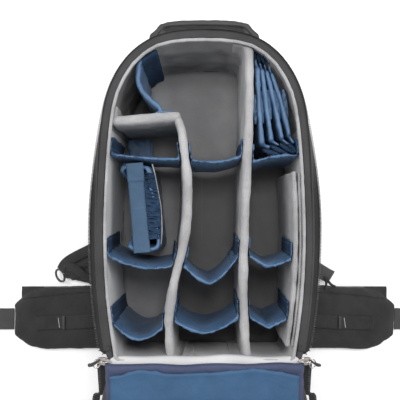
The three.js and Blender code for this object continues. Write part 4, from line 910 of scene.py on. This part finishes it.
# Grey dividers: foam boards in light loop cloth that stand between the crown and the foot, the left
# shelf across the bag, and two side panels. Their T ends of the same cloth grip the lining.
SHELF_BEND_X = -0.075
SHELF_STRETCH = 0.17
SHELF_SWELL = 0.0018
HEAD_BEND_Y = 0.09
HEAD_BEND = 0.006
GREY_PADS = (
    # node, voxel mm
    ("long_divider_left", 2.2),
    ("long_divider_right", 2.2),
    ("shelf_divider", 2.2),
    ("side_panel_inner", 2.2),
    ("side_panel_outer", 2.0),
)
for node, voxel in GREY_PADS:
    pad = soft_copy(node, voxel / 1000, 6, 0.5)
    if node == "shelf_divider":
        pad_out(pad, SHELF_SWELL, lambda co: ease(co.z, 0.12, 0.165))
    for vertex in pad.data.vertices:
        if node == "shelf_divider" and vertex.co.x > SHELF_BEND_X:
            vertex.co.x += (vertex.co.x - SHELF_BEND_X) * SHELF_STRETCH
        if node == "long_divider_left" and vertex.co.y > HEAD_BEND_Y:
            vertex.co.x -= HEAD_BEND * ((vertex.co.y - HEAD_BEND_Y) / 0.03) ** 2
    pad.data.update()
    crease(pad, 0.0016, (0.03, 0.03, 0.05), seed=voxel)
    crease(pad, 0.0007, (0.008, 0.008, 0.02), seed=voxel + 5)
    finish_piece(pad, loop_grey, node)

# Tabs of the same cloth hold the long dividers to the foot wall, stitched round their edges.
FOOT_TABS = (
    # x from, x to, z from, z to
    (-0.0335, -0.0165, 0.06, 0.178),
    (0.0385, 0.0555, 0.06, 0.178),
)
for count, (x_from, x_to, z_from, z_to) in enumerate(FOOT_TABS):

    def tab_spot(along, across, x=x_from, wide=x_to - x_from, z=z_from, tall=z_to - z_from):
        """A tab lies against the wall, its edges lifting a little."""
        spot = Vector((x + wide * across, -0.1, z + tall * along))
        wall = lining_face.ray_cast(spot, Vector((0, -1, 0)))
        lift = 0.0022 + 0.0012 * (2 * across - 1) ** 2
        spot.y = wall[0].y + lift + 0.0006 * noise.noise(spot * 70)
        return spot

    tab = laid_cloth(f"foot_tab_{count + 1}", 40, 8, tab_spot, 0.0014)
    tab_face = BVHTree.FromObject(tab, bpy.context.evaluated_depsgraph_get())
    finish_piece(tab, loop_grey)
    frame_line = [(0.04, 0.12), (0.97, 0.12), (0.97, 0.88), (0.04, 0.88)]
    sew(
        f"foot_tab_stitches_{count + 1}",
        [[tab_spot(along, across) for along, across in frame_line]],
        tab_face,
        thread_dark,
        stitch=2.0,
        pitch=3.2,
    )

# A double row of dark thread joins the two side panels along their top edges.
PANEL_SEAM_INSETS = {"side_panel_inner": 0.0035, "side_panel_outer": 0.0025}
for node, inset in PANEL_SEAM_INSETS.items():
    panel_low, panel_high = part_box(node)
    panel_tree = merged_tree(node)
    seam = []
    y = panel_low.y + 0.006
    while y < panel_high.y - 0.006:
        hit = panel_tree.ray_cast(Vector((0.3, y, panel_high.z - 0.002)), Vector((-1, 0, 0)))
        if hit[0]:
            seam.append(Vector((hit[0].x - inset, y, panel_high.z + 0.001)))
        y += 0.008
    sew(node + "_stitches", [seam], panel_tree, thread_dark, stitch=2.6, pitch=4.2)

# Blue cross dividers: thin foam boards in satin nylon, each with a rolled and stitched top edge and a
# turned end at both sides faced with hook tape, which grips the loop cloth.
ROLL_DEPTH = 0.004
STITCH_DEPTH = 0.0065
TAB_STITCH_INSET = 0.003
blue_nylon = cloth(
    "blue_nylon", (0.062, 0.142, 0.272), (0.032, 0.082, 0.168), 0.7,
    roughness=0.34, sheen=0.05, shine=0.65,
)
# The hook tape's dark navy is partly its own colour and partly painted shade: it darkens the tabs against
# the walls, the corner's gathered head, the folded flaps and the pocket's ruffle.
hook_tape_and_shade_blue = cloth(
    "blue_hook_tape_and_painted_shade", (0.022, 0.052, 0.105), (0.009, 0.024, 0.052), 1.3,
    relief=0.5, roughness=0.8, sheen=0.02, shine=0.2,
)
CROSS_DIVIDERS = (
    # node, share of its height kept by the hem
    ("divider_left_upper", 0.8),
    ("divider_left_middle", 0.75),
    ("divider_left_lower", 1.0),
    ("divider_middle_upper", 0.75),
    ("divider_middle_middle", 0.7),
    ("divider_middle_lower", 0.7),
    ("divider_right_upper", 0.9),
    ("divider_right_middle", 0.6),
    ("divider_right_lower", 0.75),
)


def rolled_edge(top):
    """A board's section: a thin rolled top edge, a stitched dip below it, then a soft pillow."""

    def profile(co):
        depth = top - co.z
        if depth < ROLL_DEPTH:
            return -1.3
        if depth < STITCH_DEPTH + 0.002:
            return -2.3
        return -0.2 + 0.7 * math.sin(math.pi * min((depth - STITCH_DEPTH) / 0.13, 1.0))

    return profile


def raise_hem(piece, top, share):
    """Draw a board's lower edge up to this share of its height, the hem puckered."""
    for vertex in piece.data.vertices:
        depth = top - vertex.co.z
        pucker = noise.noise(Vector((vertex.co.x * 110, vertex.co.y * 110, 3.0)))
        vertex.co.z = top - depth * share * (1 + 0.05 * pucker * depth / 0.15)
    piece.data.update()


def board_stitches(node, surface, top, name):
    """Rows of blue thread under a board's roll, on both faces, and down the edge of each tab."""
    low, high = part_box(node)
    tree = merged_tree(node)
    runs = []
    z = top - STITCH_DEPTH
    for side in (-1, 1):
        run = []
        steps = int((high.x - low.x - 0.014) / 0.004)
        for step in range(steps + 1):
            x = low.x + 0.007 + step * 0.004
            start = Vector((x, low.y - 0.02 if side < 0 else high.y + 0.02, z))
            hit = tree.ray_cast(start, Vector((0, -side, 0)))
            if hit[0]:
                run.append(hit[0])
        runs.append(run)
        middle = (low.x + high.x) / 2
        y = high.y
        while y > low.y:
            hit = tree.ray_cast(Vector((middle, y, z)), Vector((side, 0, 0)))
            if hit[0]:
                break
            y -= 0.001
        edge = y - TAB_STITCH_INSET
        for row in (edge, edge - 0.014):
            tab = []
            for step in range(24):
                start = Vector((middle, row, FLOOR_Z + 0.008 + step * 0.006))
                hit = tree.ray_cast(start, Vector((side, 0, 0)))
                if hit[0] and start.z < top - 0.004:
                    tab.append(hit[0])
            if len(tab) > 2:
                runs.append(tab)
    return sew(name, [run for run in runs if len(run) > 1], surface, thread_blue)


for count, (node, share) in enumerate(CROSS_DIVIDERS):
    low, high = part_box(node)
    board = soft_copy(node, 0.002, 4, 0.65)
    pad_out(board, 0.0007, rolled_edge(high.z))

    def pucker(co, top=high.z):
        """Puckers are deepest at the stitched edge and fade down the board."""
        return 0.25 + 0.75 * math.exp(-max(top - co.z, 0) / 0.018)

    crease(board, 0.0019, (0.0055, 0.0055, 0.018), pucker, seed=count * 3.1)
    crease(board, 0.0018, (0.03, 0.03, 0.05), seed=count * 5.3)
    raise_hem(board, high.z, share)
    board_face = BVHTree.FromObject(board, bpy.context.evaluated_depsgraph_get())
    finish_piece(board, blue_nylon, node)
    # Faces at the tabs take the dark hook tape, partly painted shade where they meet the walls.
    board.data.materials.append(hook_tape_and_shade_blue)
    for face in board.data.polygons:
        near_side = min(face.center.x - low.x, high.x - face.center.x)
        if abs(face.normal.x) > 0.8 and near_side < 0.012:
            face.material_index = 1
    board_stitches(node, board_face, high.z, node + "_stitches")

# Corner divider: a thicker blue board bent round the upper left bay, gathered under its hook tape
# where it meets the crown.
corner_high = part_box("divider_corner")[1]
corner = soft_copy("divider_corner", 0.002, 4, 0.75)
pad_out(corner, 0.0009, lambda co: 1.0)


def head_gather(co):
    """The gathered cloth lies along the crown's wall."""
    return max(0.0, min(1.0, (co.y - corner_high.y + 0.03) / 0.012)) if co.x > -0.093 else 0.0


crease(corner, 0.0022, (0.03, 0.03, 0.0075), head_gather, ridged=True, seed=8.0)
crease(corner, 0.0014, (0.009, 0.009, 0.04), seed=2.0)
finish_piece(corner, blue_nylon, "divider_corner")
# The gathered head takes the dark hook tape, partly painted shade along the crown's wall.
corner.data.materials.append(hook_tape_and_shade_blue)
for face in corner.data.polygons:
    if head_gather(face.center) > 0.5:
        face.material_index = 1

# Spare dividers: four more blue boards stood on edge and fanned out, their hook tape ends folded
# over at the foot, at the head and between the boards.
SPARES = ("spare_divider_1", "spare_divider_2", "spare_divider_3", "spare_divider_4")
for count, node in enumerate(SPARES):
    low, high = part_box(node)
    board = soft_copy(node, 0.0019, 3, 0.6)
    pad_out(board, 0.0008, lambda co: 1.0)
    crease(board, 0.0008, (0.009, 0.009, 0.03), seed=count * 2.3)
    crease(board, 0.0014, (0.03, 0.03, 0.05), seed=count * 4.7)
    finish_piece(board, blue_nylon, node)

FLAP_TOP = corner_high.z - 0.001
SPARE_FLAPS = (
    # x and y of the head, x and y of the foot, width at the middle, drop of the head
    (0.0748, 0.152, 0.0762, 0.109, 0.0065),
    (0.0832, 0.158, 0.0868, 0.110, 0.0085),
    (0.0928, 0.159, 0.0978, 0.116, 0.0105),
    (0.1045, 0.159, 0.1105, 0.116, 0.0115),
    (0.1165, 0.160, 0.1235, 0.119, 0.0085),
    # the folds above the boards' heads
    (0.0745, 0.2165, 0.0765, 0.196, 0.0045),
    (0.0785, 0.2155, 0.0825, 0.1985, 0.005),
    (0.0825, 0.2135, 0.0905, 0.1985, 0.005),
    (0.0875, 0.2105, 0.0985, 0.199, 0.0045),
    # the folds fanned out at the boards' feet
    (0.0865, 0.0705, 0.1118, 0.0635, 0.0075),
    (0.0975, 0.0765, 0.1228, 0.0652, 0.007),
    (0.1125, 0.0785, 0.1335, 0.0668, 0.007),
    (0.1232, 0.0812, 0.1378, 0.0682, 0.0065),
)
for count, (head_x, head_y, foot_x, foot_y, width) in enumerate(SPARE_FLAPS):
    head = Vector((head_x, head_y, FLAP_TOP - 0.006))
    foot = Vector((foot_x, foot_y, FLAP_TOP - 0.009))
    across_of = Vector((head.y - foot.y, foot.x - head.x, 0)).normalized()

    def flap_spot(along, across, head=head, foot=foot, out=across_of, wide=width, seed=count):
        """A folded strip of hook tape: crumpled, ragged at its ends and lower along its sides."""
        bulge = wide * (0.55 + 0.45 * math.sin(math.pi * along))
        ragged = 0.0022 * noise.noise(Vector((across * 6, seed * 3.7, along * 2)))
        spot = head.lerp(foot, along) + out * ((across - 0.5) * bulge)
        spot.y += ragged * (1 if along < 0.1 or along > 0.9 else 0)
        crumple = noise.noise(Vector((across * 5, along * 9, seed * 2.9)))
        spot.z += 0.002 + 0.0024 * crumple - 0.02 * abs(across - 0.5) ** 3
        return spot

    flap = laid_cloth(f"spare_hook_flap_{count + 1}", 34, 8, flap_spot, 0.0011)
    # The folds over the heads and feet take the dark hook tape, partly painted shade.
    finish_piece(flap, hook_tape_and_shade_blue if count > 4 else blue_nylon)

# Strap pocket: a padded blue wall bent into a tall loop and bound in grey, its mouth closed on one
# side by gathered elastic cloth, with a flat webbing strap stitched across the top.
POCKET_SLUMP = 0.03
POCKET_LEAN = 0.012
pocket_low, pocket_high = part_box("strap_pocket")
pocket = soft_copy("strap_pocket", 0.0024, 4, 0.7)
pad_out(pocket, 0.0007, rolled_edge(pocket_high.z))
for vertex in pocket.data.vertices:
    slump = ease(-vertex.co.x, 0.095, 0.112) * ease(vertex.co.y, -0.075, -0.05)
    slump *= 1 - ease(vertex.co.y, 0.022, 0.042)
    vertex.co.z -= POCKET_SLUMP * slump * ease(vertex.co.z, pocket_low.z, pocket_high.z)
    vertex.co.x += POCKET_LEAN * slump * ease(vertex.co.z, pocket_low.z, pocket_high.z)
pocket.data.update()
crease(pocket, 0.0012, (0.009, 0.009, 0.03), seed=11.0)
crease(pocket, 0.002, (0.03, 0.03, 0.05), seed=12.0)
finish_piece(pocket, blue_nylon, "strap_pocket")
POCKET_MOUTH = (
    # y, then x at the left and the right of the gathered cloth
    (0.037, -0.0925, -0.0765),
    (0.02, -0.09, -0.0722),
    (-0.012, -0.0872, -0.0668),
    (-0.035, -0.0855, -0.0655),
    (-0.062, -0.0832, -0.0662),
)


def ruffle_spot(along, across):
    """Cloth gathered on an elastic: ridges across the mouth, packed unevenly."""
    place = along * (len(POCKET_MOUTH) - 1)
    low = min(int(place), len(POCKET_MOUTH) - 2)
    y, left, right = Vector(POCKET_MOUTH[low]).lerp(Vector(POCKET_MOUTH[low + 1]), place - low)
    fold = noise.noise(Vector((across * 1.6, along * 24, 4.0)))
    slant = noise.noise(Vector((across * 4, along * 11, 9.0)))
    calm = 1 - 0.8 * (2 * across - 1) ** 6
    z = pocket_high.z + 0.0016 + calm * (0.0056 * (0.4 - 2 * abs(fold)) + 0.002 * slant)
    return Vector((left + (right - left) * across, y, z - 0.0016 * (2 * across - 1) ** 2))


ruffle = laid_cloth("strap_pocket_ruffle", 170, 18, ruffle_spot, 0.001)
# The ruffle takes the dark hook tape cloth, partly painted shade in the pocket's mouth.
finish_piece(ruffle, hook_tape_and_shade_blue)

strap_low, strap_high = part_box("strap_pocket_band")
strap_head = Vector((-0.1048, strap_high.y, strap_high.z))
strap_foot = Vector((-0.0935, strap_low.y, strap_high.z))
STRAP_HALF_WIDTH = 0.0125
STRAP_FOLD = 0.2


def strap_spot(along, across):
    """The strap sags a little, and its upper fifth lies on top, folded over and sewn down."""
    spot = strap_head.lerp(strap_foot, along)
    out = Vector((strap_head.y - strap_foot.y, strap_foot.x - strap_head.x, 0)).normalized()
    fold = 0.0014 if along < STRAP_FOLD else 0.0
    spot += out * ((across - 0.5) * 2 * STRAP_HALF_WIDTH * (1.03 if fold else 1.0))
    sag = 0.0035 * math.sin(math.pi * along)
    wave = 0.0007 * noise.noise(Vector((along * 6, across * 2, 1.0)))
    curl = 0.0006 * (2 * across - 1) ** 2
    spot.z += fold - sag + wave - curl - 0.0004
    return spot


strap_blue = cloth(
    "blue_webbing", (0.05, 0.098, 0.168), (0.03, 0.066, 0.12), 1.0,
    relief=0.25, roughness=0.6, sheen=0.05, shine=0.3,
)
pocket_strap = laid_cloth("strap_pocket_band_cloth", 90, 12, strap_spot, 0.0015)
strap_face = BVHTree.FromObject(pocket_strap, bpy.context.evaluated_depsgraph_get())
finish_piece(pocket_strap, strap_blue, "strap_pocket_band")
sew(
    "strap_pocket_stitches",
    [
        [strap_spot(place, 0.08), strap_spot(place, 0.92)]
        for place in (STRAP_FOLD - 0.018, STRAP_FOLD - 0.03, 0.5)
    ],
    strap_face,
    thread_blue,
    stitch=1.6,
    pitch=2.4,
)
binding_line = [
    (-0.0785, 0.0505),
    (-0.0752, 0.038),
    (-0.0706, 0.014),
    (-0.0656, -0.012),
    (-0.0642, -0.032),
    (-0.064, -0.052),
    (-0.0652, -0.07),
]
binding_line = [Vector((x, y, pocket_high.z - 0.003)) for x, y in binding_line]
binding = tube("strap_pocket_binding", binding_line, 0.0009, 0.8, 3)
finish_piece(binding, loop_grey)

# Zip sliders: nickel plated, parked at the foot's corners, each with a wire ring and a cord pull.
SLIDER_LENGTH = 0.0195
SLIDER_HALF_WIDTHS = (
    # share of the length, half width mm
    (0.0, 1.6),
    (0.06, 2.7),
    (0.22, 4.4),
    (0.45, 5.3),
    (0.72, 5.0),
    (0.92, 4.2),
    (1.0, 3.2),
)
SLIDER_PLACE = (0.1462, -0.2385)
RING_PLACE = (0.1562, -0.2412, 0.1962)
RING_RADII = (0.0052, 0.0062)
WIRE_RADIUS = 0.0009
PULL_ROOT = 0.1525
PULL_REACH = 0.0148
PULL_STEPS = 24
PULL_RADIUS = 0.0018
nickel = hard("nickel_plate", (0.72, 0.67, 0.65), (0.4, 0.37, 0.36), 0.24, 1.0, 220.0)
dark_nickel = hard("dark_nickel", (0.16, 0.155, 0.155), (0.07, 0.068, 0.068), 0.34, 1.0, 220.0)
acetal = hard("black_acetal", (0.03, 0.03, 0.032), (0.018, 0.018, 0.019), 0.42, 0.0, 180.0)
cord_black = cloth("pull_cord", (0.05, 0.05, 0.052), (0.02, 0.02, 0.021), 1.2, relief=0.5)


def slider_plate(bm, place, z_low, z_high):
    """One plate of a slider, its rim rounded."""
    outline = list(SLIDER_HALF_WIDTHS)
    outline += [(share, -half) for share, half in reversed(SLIDER_HALF_WIDTHS)]
    corners = []
    for share, half in outline:
        spot = Vector(((share - 0.5) * SLIDER_LENGTH, half / 1000, z_low))
        corners.append(bm.verts.new(place @ spot))
    base = bm.faces.new(corners)
    rise = bmesh.ops.extrude_face_region(bm, geom=[base])["geom"]
    moved = [item for item in rise if isinstance(item, bmesh.types.BMVert)]
    bmesh.ops.translate(bm, verts=moved, vec=Vector((0, 0, z_high - z_low)))
    edges = [edge for edge in bm.edges if all(v in corners + moved for v in edge.verts)]
    bmesh.ops.bevel(bm, geom=edges, offset=0.00045, segments=3, affect="EDGES", profile=0.5)


for name, side in (("left", -1), ("right", 1)):
    middle = Vector((side * SLIDER_PLACE[0], SLIDER_PLACE[1], 0))
    turn = Matrix.Rotation(math.radians(4 if side > 0 else 172), 4, "Z")
    place = Matrix.Translation(middle) @ turn
    bm = bmesh.new()
    slider_plate(bm, place, 0.1885, 0.1901)
    slider_plate(bm, place, 0.1936, 0.1952)
    post = Matrix.Translation((-0.0062, 0, 0.1918)) @ Matrix.Diagonal((0.0045, 0.0024, 0.0042, 1))
    bmesh.ops.create_cube(bm, size=1, matrix=place @ post)
    bmesh.ops.recalc_face_normals(bm, faces=bm.faces)
    body = in_scene("slider_body_" + name, bm)
    finish_piece(body, nickel, "slider_" + name)
    arch = []
    for step in range(17):
        swing = math.pi * step / 16
        x = -0.0056 * math.cos(swing)
        arch.append(place @ Vector((x, 0, 0.1948 + 0.0032 * math.sin(swing))))
    bridge = tube("slider_bridge_" + name, arch, WIRE_RADIUS, 0.0, 4)
    finish_piece(bridge, nickel)
    loop = []
    for step in range(28):
        swing = math.tau * step / 28
        spot = Vector((RING_RADII[0] * math.cos(swing), RING_RADII[1] * math.sin(swing), 0))
        tilt = Matrix.Rotation(math.radians(24), 4, "Y")
        loop.append(Vector((side * RING_PLACE[0], *RING_PLACE[1:])) + tilt @ spot)
    ring = tube("slider_ring_wire_" + name, loop, WIRE_RADIUS, 0.0, 4, closed=True)
    finish_piece(ring, nickel, "slider_ring_" + name)
    pull_line = []
    for step in range(PULL_STEPS + 1):
        share = step / PULL_STEPS
        x = side * (PULL_ROOT + PULL_REACH * share)
        y = -0.2355 - 0.0085 * share - 0.0012 * math.sin(math.pi * share)
        z = 0.1976 + 0.0012 * math.sin(math.pi * share) - 0.004 * share * share
        pull_line.append(Vector((x, y, z)))
    pull = tube("slider_cord_" + name, pull_line, PULL_RADIUS, 0.35, 5)
    for vertex in pull.data.vertices:
        share = (abs(vertex.co.x) - PULL_ROOT) / PULL_REACH
        axis = pull_line[min(max(int(share * PULL_STEPS), 0), PULL_STEPS)]
        if share > 0.45:
            vertex.co = axis + (vertex.co - axis) * 1.32
    finish_piece(pull, cord_black, "slider_pull_" + name)

# Harness: a mesh covered back pad and lumbar pad under the bag, padded shoulder straps and the hip
# belt's two wings. A cloth simulation blows each cover up round its foam.
REST_LEVEL = 0.0005
PAD_CEILING = 0.0152


def fill_out(piece, cap, pressure=4.0, frames=18):
    """Swell the padding under its cover with a cloth simulation, no point moving more than cap."""
    rest = [vertex.co.copy() for vertex in piece.data.vertices]
    cover = piece.modifiers.new("cover", "CLOTH")
    cover.settings.use_pressure = True
    cover.settings.uniform_pressure_force = pressure
    cover.settings.effector_weights.gravity = 0
    cover.settings.quality = 4
    cover.point_cache.frame_start = 1
    cover.point_cache.frame_end = frames
    for step in range(1, frames + 1):
        scene.frame_set(step)
    swollen = piece.evaluated_get(bpy.context.evaluated_depsgraph_get()).to_mesh()
    moved = [vertex.co.copy() for vertex in swollen.vertices]
    piece.modifiers.remove(cover)
    for vertex, start, end in zip(piece.data.vertices, rest, moved):
        move = end - start
        if move.length > cap:
            move *= cap / move.length
        vertex.co = start + move
    piece.data.update()
    scene.frame_set(1)


mesh_black = cloth("air_mesh", (0.035, 0.035, 0.037), (0.02, 0.02, 0.021), 2.4, relief=0.6)
harness_black = cloth("harness_nylon", (0.035, 0.0345, 0.0365), (0.017, 0.0168, 0.018), 1.1, shine=0.4)
HARNESS_PADS = (
    # node, voxel mm, most swelling mm, material, slot
    ("back_pad", 4.5, 2.5, mesh_black, "mesh_pad"),
    ("lumbar_pad", 4.5, 2.5, mesh_black, "mesh_pad"),
    ("shoulder_strap_left", 4.0, 1.8, harness_black, "nylon"),
    ("shoulder_strap_right", 4.0, 1.8, harness_black, "nylon"),
    ("belt_wing_left", 4.0, 2.5, harness_black, "nylon"),
    ("belt_wing_right", 4.0, 2.5, harness_black, "nylon"),
)
harness_faces = {}
for count, (node, voxel, cap, material, slot) in enumerate(HARNESS_PADS):
    pad = soft_copy(node, voxel / 1000, 3)
    fill_out(pad, cap / 1000)
    crease(pad, 0.0014, (0.03, 0.03, 0.03), seed=count * 2.7)
    crease(pad, 0.0006, (0.009, 0.009, 0.03), seed=count * 4.1)
    ceiling = PAD_CEILING if slot == "mesh_pad" else 1.0
    for vertex in pad.data.vertices:
        vertex.co.z = min(max(vertex.co.z, REST_LEVEL), ceiling)
    pad.data.update()
    harness_faces[node] = BVHTree.FromObject(pad, bpy.context.evaluated_depsgraph_get())
    finish_piece(pad, material, node)


def drop_on(surface, x, y, lift, level):
    """The point lift above a surface at x and y, or at this level beside it."""
    hit = surface.ray_cast(Vector((x, y, 0.4)), Vector((0, 0, -1)))
    return Vector((x, y, (hit[0].z if hit[0] else level) + lift))


# Hip belt: a hem sewn along each wing's top, a flat webbing rail across it with white bar tacks and
# a keeper loop, and the belt's webbing running out to the two halves of the buckle.
BELT_STRAP_VOXEL = 0.0009
RING_MOVE = (-0.0042, -0.0028, 0.0015)
HEM_LINE = ((0.158, -0.1665), (0.2, -0.1655), (0.245, -0.1685), (0.3, -0.1745), (0.335, -0.179))
BAR_TACKS = {"left": (-0.2605, -0.2515), "right": (0.2516, 0.2426)}
thread_white = cloth("white_thread", (0.62, 0.62, 0.63), (0.45, 0.45, 0.46), 0.5)


def line_at(line, x):
    """The height of a line of points at x."""
    for (low, first), (high, last) in zip(line, line[1:]):
        if x <= high:
            return first + (last - first) * max(x - low, 0) / (high - low)
    return line[-1][1]


for name, side in (("left", -1), ("right", 1)):
    wing = harness_faces["belt_wing_" + name]
    wing_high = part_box("belt_wing_" + name)[1]

    def hem_spot(along, across, side=side, wing=wing, top=wing_high.y):
        """The hem strip lies over the wing's top edge and is flat at its seam."""
        x = 0.16 + 0.17 * along
        y = line_at(HEM_LINE, x)
        y += (top - 0.004 - y) * across
        ripple = 0.0007 * noise.noise(Vector((x * 60, across * 2, side * 3.0)))
        puff = 0.0016 * math.sin(math.pi * across) ** 0.5
        return drop_on(wing, side * x, y, 0.0008 + puff + ripple, 0.006)

    hem = laid_cloth("belt_hem_" + name, 90, 8, hem_spot, 0.001)
    hem_face = BVHTree.FromObject(hem, bpy.context.evaluated_depsgraph_get())
    finish_piece(hem, harness_black)
    seam = [[hem_spot(step / 40, 0.12) for step in range(41)]]
    sew("belt_hem_stitches_" + name, seam, hem_face, thread_dark, stitch=3.0)

    rail = merged_tree("belt_rail_" + name)
    rail_low, rail_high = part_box("belt_rail_" + name)

    def rail_span(x, rail=rail, low=rail_low.y, high=rail_high.y):
        """The rail's lower and upper edge at x."""
        found = []
        for step in range(81):
            y = low + (high - low) * step / 80
            if rail.ray_cast(Vector((x, y, 0.4)), Vector((0, 0, -1)))[0]:
                found.append(y)
        return found[0], found[-1]

    spans = []
    for step in range(61):
        x = rail_low.x + 0.0004 + (rail_high.x - rail_low.x - 0.0008) * step / 60
        spans.append((x, *rail_span(x)))

    def rail_spot(along, across, spans=spans, tack=BAR_TACKS[name][0], wing=wing):
        """The rail webbing lies on the wing, lifting a little between its tacks."""
        place = along * (len(spans) - 1)
        low = min(int(place), len(spans) - 2)
        x, y_low, y_high = Vector(spans[low]).lerp(Vector(spans[low + 1]), place - low)
        loose = 1 - math.exp(-(((x - tack) / 0.016) ** 2))
        ripple = 0.0006 * noise.noise(Vector((x * 45, across * 1.5, 8.0)))
        return drop_on(wing, x, y_low + (y_high - y_low) * across, 0.0018 + 0.001 * loose + ripple, 0.006)

    band_of = laid_cloth("belt_rail_webbing_" + name, 100, 10, rail_spot, 0.0015)
    band_face_of = BVHTree.FromObject(band_of, bpy.context.evaluated_depsgraph_get())
    finish_piece(band_of, harness_black, "belt_rail_" + name)
    tack_x, loop_x = BAR_TACKS[name]
    y_low, y_high = rail_span(tack_x)
    y_low += 0.003
    y_high -= 0.003
    tack_line = []
    for step in range(9):
        y = y_low + (y_high - y_low) * step / 8
        tack_line.append(drop_on(band_face_of, tack_x + 0.0016 - 0.0028 * step / 8, y, 0.0006, 0.0125))
    sew(
        "belt_bar_tack_" + name, [tack_line], band_face_of, thread_white,
        stitch=2.0, pitch=1.1, thread=1.5,
    )
    rails = [[rail_spot(step / 40, row) for step in range(41)] for row in (0.08, 0.92)]
    sew("belt_rail_stitches_" + name, rails, band_face_of, thread_dark, stitch=2.6)

    def keeper_spot(along, across, x=loop_x, ends=(y_low - 0.005, y_high + 0.005), face=band_face_of):
        """A narrow keeper loop bridges the rail."""
        y = ends[0] + (ends[1] - ends[0]) * along
        bow = 0.0024 * math.sin(math.pi * along) ** 0.4
        return drop_on(face, x + (across - 0.5) * 0.0045, y, bow, 0.0125)

    keeper = laid_cloth("belt_keeper_" + name, 40, 5, keeper_spot, 0.0011)
    finish_piece(keeper, webbing_black)

for node, depth in (
    ("belt_webbing_left", 0.0006),
    ("belt_webbing_right", 0.0006),
    ("strap_webbing_tail", 0.001),
):
    strap = soft_copy(node, BELT_STRAP_VOXEL, 2)
    crease(strap, depth, (0.02, 0.02, 0.05))
    finish_piece(strap, webbing_black, node)
for node, voxel, material, slot in (
    ("buckle_left", 0.9, acetal, "black_plastic"),
    ("buckle_right", 0.9, acetal, "black_plastic"),
    ("strap_ring", 0.6, dark_nickel, "steel"),
):
    part = soft_copy(node, voxel / 1000, 3)
    if node == "strap_ring":
        pad_out(part, 0.0005, lambda co: 1.0)
        part.data.transform(Matrix.Translation(RING_MOVE))
    finish_piece(part, material, node)

# Shoulder strap ends: webbing bands sewn on, the padding's cover bunched up between them, and on the
# right two small webbing loops.
BUNCH_CORNERS = ((-0.2535, -0.139), (-0.197, -0.153), (-0.186, -0.0745), (-0.2475, -0.107))
STRAP_BANDS = (
    # name, width, points x y z
    (
        "strap_band_upper",
        0.0185,
        ((-0.2575, -0.126, 0.012), (-0.249, -0.1125, 0.0175), (-0.231, -0.1015, 0.0205),
         (-0.206, -0.0895, 0.0215), (-0.18, -0.075, 0.021)),
    ),
    (
        "strap_band_lower",
        0.0145,
        ((-0.2565, -0.131, 0.01), (-0.246, -0.119, 0.019), (-0.231, -0.121, 0.0225),
         (-0.216, -0.1345, 0.0215), (-0.194, -0.1485, 0.018)),
    ),
    (
        "strap_loop_inner",
        0.0045,
        ((0.2165, -0.137, 0.014), (0.219, -0.147, 0.019), (0.2175, -0.158, 0.0175),
         (0.2185, -0.167, 0.0155)),
    ),
    (
        "strap_loop_outer",
        0.0045,
        ((0.2195, -0.14, 0.015), (0.2235, -0.1475, 0.0195), (0.229, -0.153, 0.0185),
         (0.2355, -0.1555, 0.016)),
    ),
)
for name, width, points in STRAP_BANDS:
    path = [Vector(spot) for spot in points]
    for _ in range(3):
        finer = [path[0]]
        for start, end in zip(path, path[1:]):
            finer += [start.lerp(end, 0.25), start.lerp(end, 0.75)]
        path = finer + [path[-1]]

    def band_place(along, across, path=path, width=width):
        """The band follows its path flat, its edges dipping."""
        place = along * (len(path) - 1)
        low = min(int(place), len(path) - 2)
        ahead = (path[low + 1] - path[low]).normalized()
        out = Vector((ahead.y, -ahead.x, 0)).normalized()
        spot = path[low].lerp(path[low + 1], place - low) + out * (across - 0.5) * width
        spot.z -= 0.0012 * (2 * across - 1) ** 2
        return spot

    strip = laid_cloth(name + "_webbing", 70, 8, band_place, 0.0014)
    finish_piece(strip, harness_black)


def bunch_spot(along, across):
    """Loose cover cloth bunched into folds that run along the strap."""
    low = Vector(BUNCH_CORNERS[0]).lerp(Vector(BUNCH_CORNERS[1]), along)
    high = Vector(BUNCH_CORNERS[3]).lerp(Vector(BUNCH_CORNERS[2]), along)
    spot = low.lerp(high, across)
    fold = 0.5 - 2 * abs(noise.noise(Vector((along * 2.2, across * 5.5, 6.0))))
    rim = math.sin(math.pi * across) ** 0.5
    edge = 0.002 * noise.noise(Vector((along * 6, across * 2, 12.0)))
    return Vector((spot.x, spot.y + edge, 0.0105 + 0.0065 * rim + 0.0045 * fold * rim))


bunch = laid_cloth("strap_bunched_cover", 80, 50, bunch_spot, 0.0012)
finish_piece(bunch, harness_black)
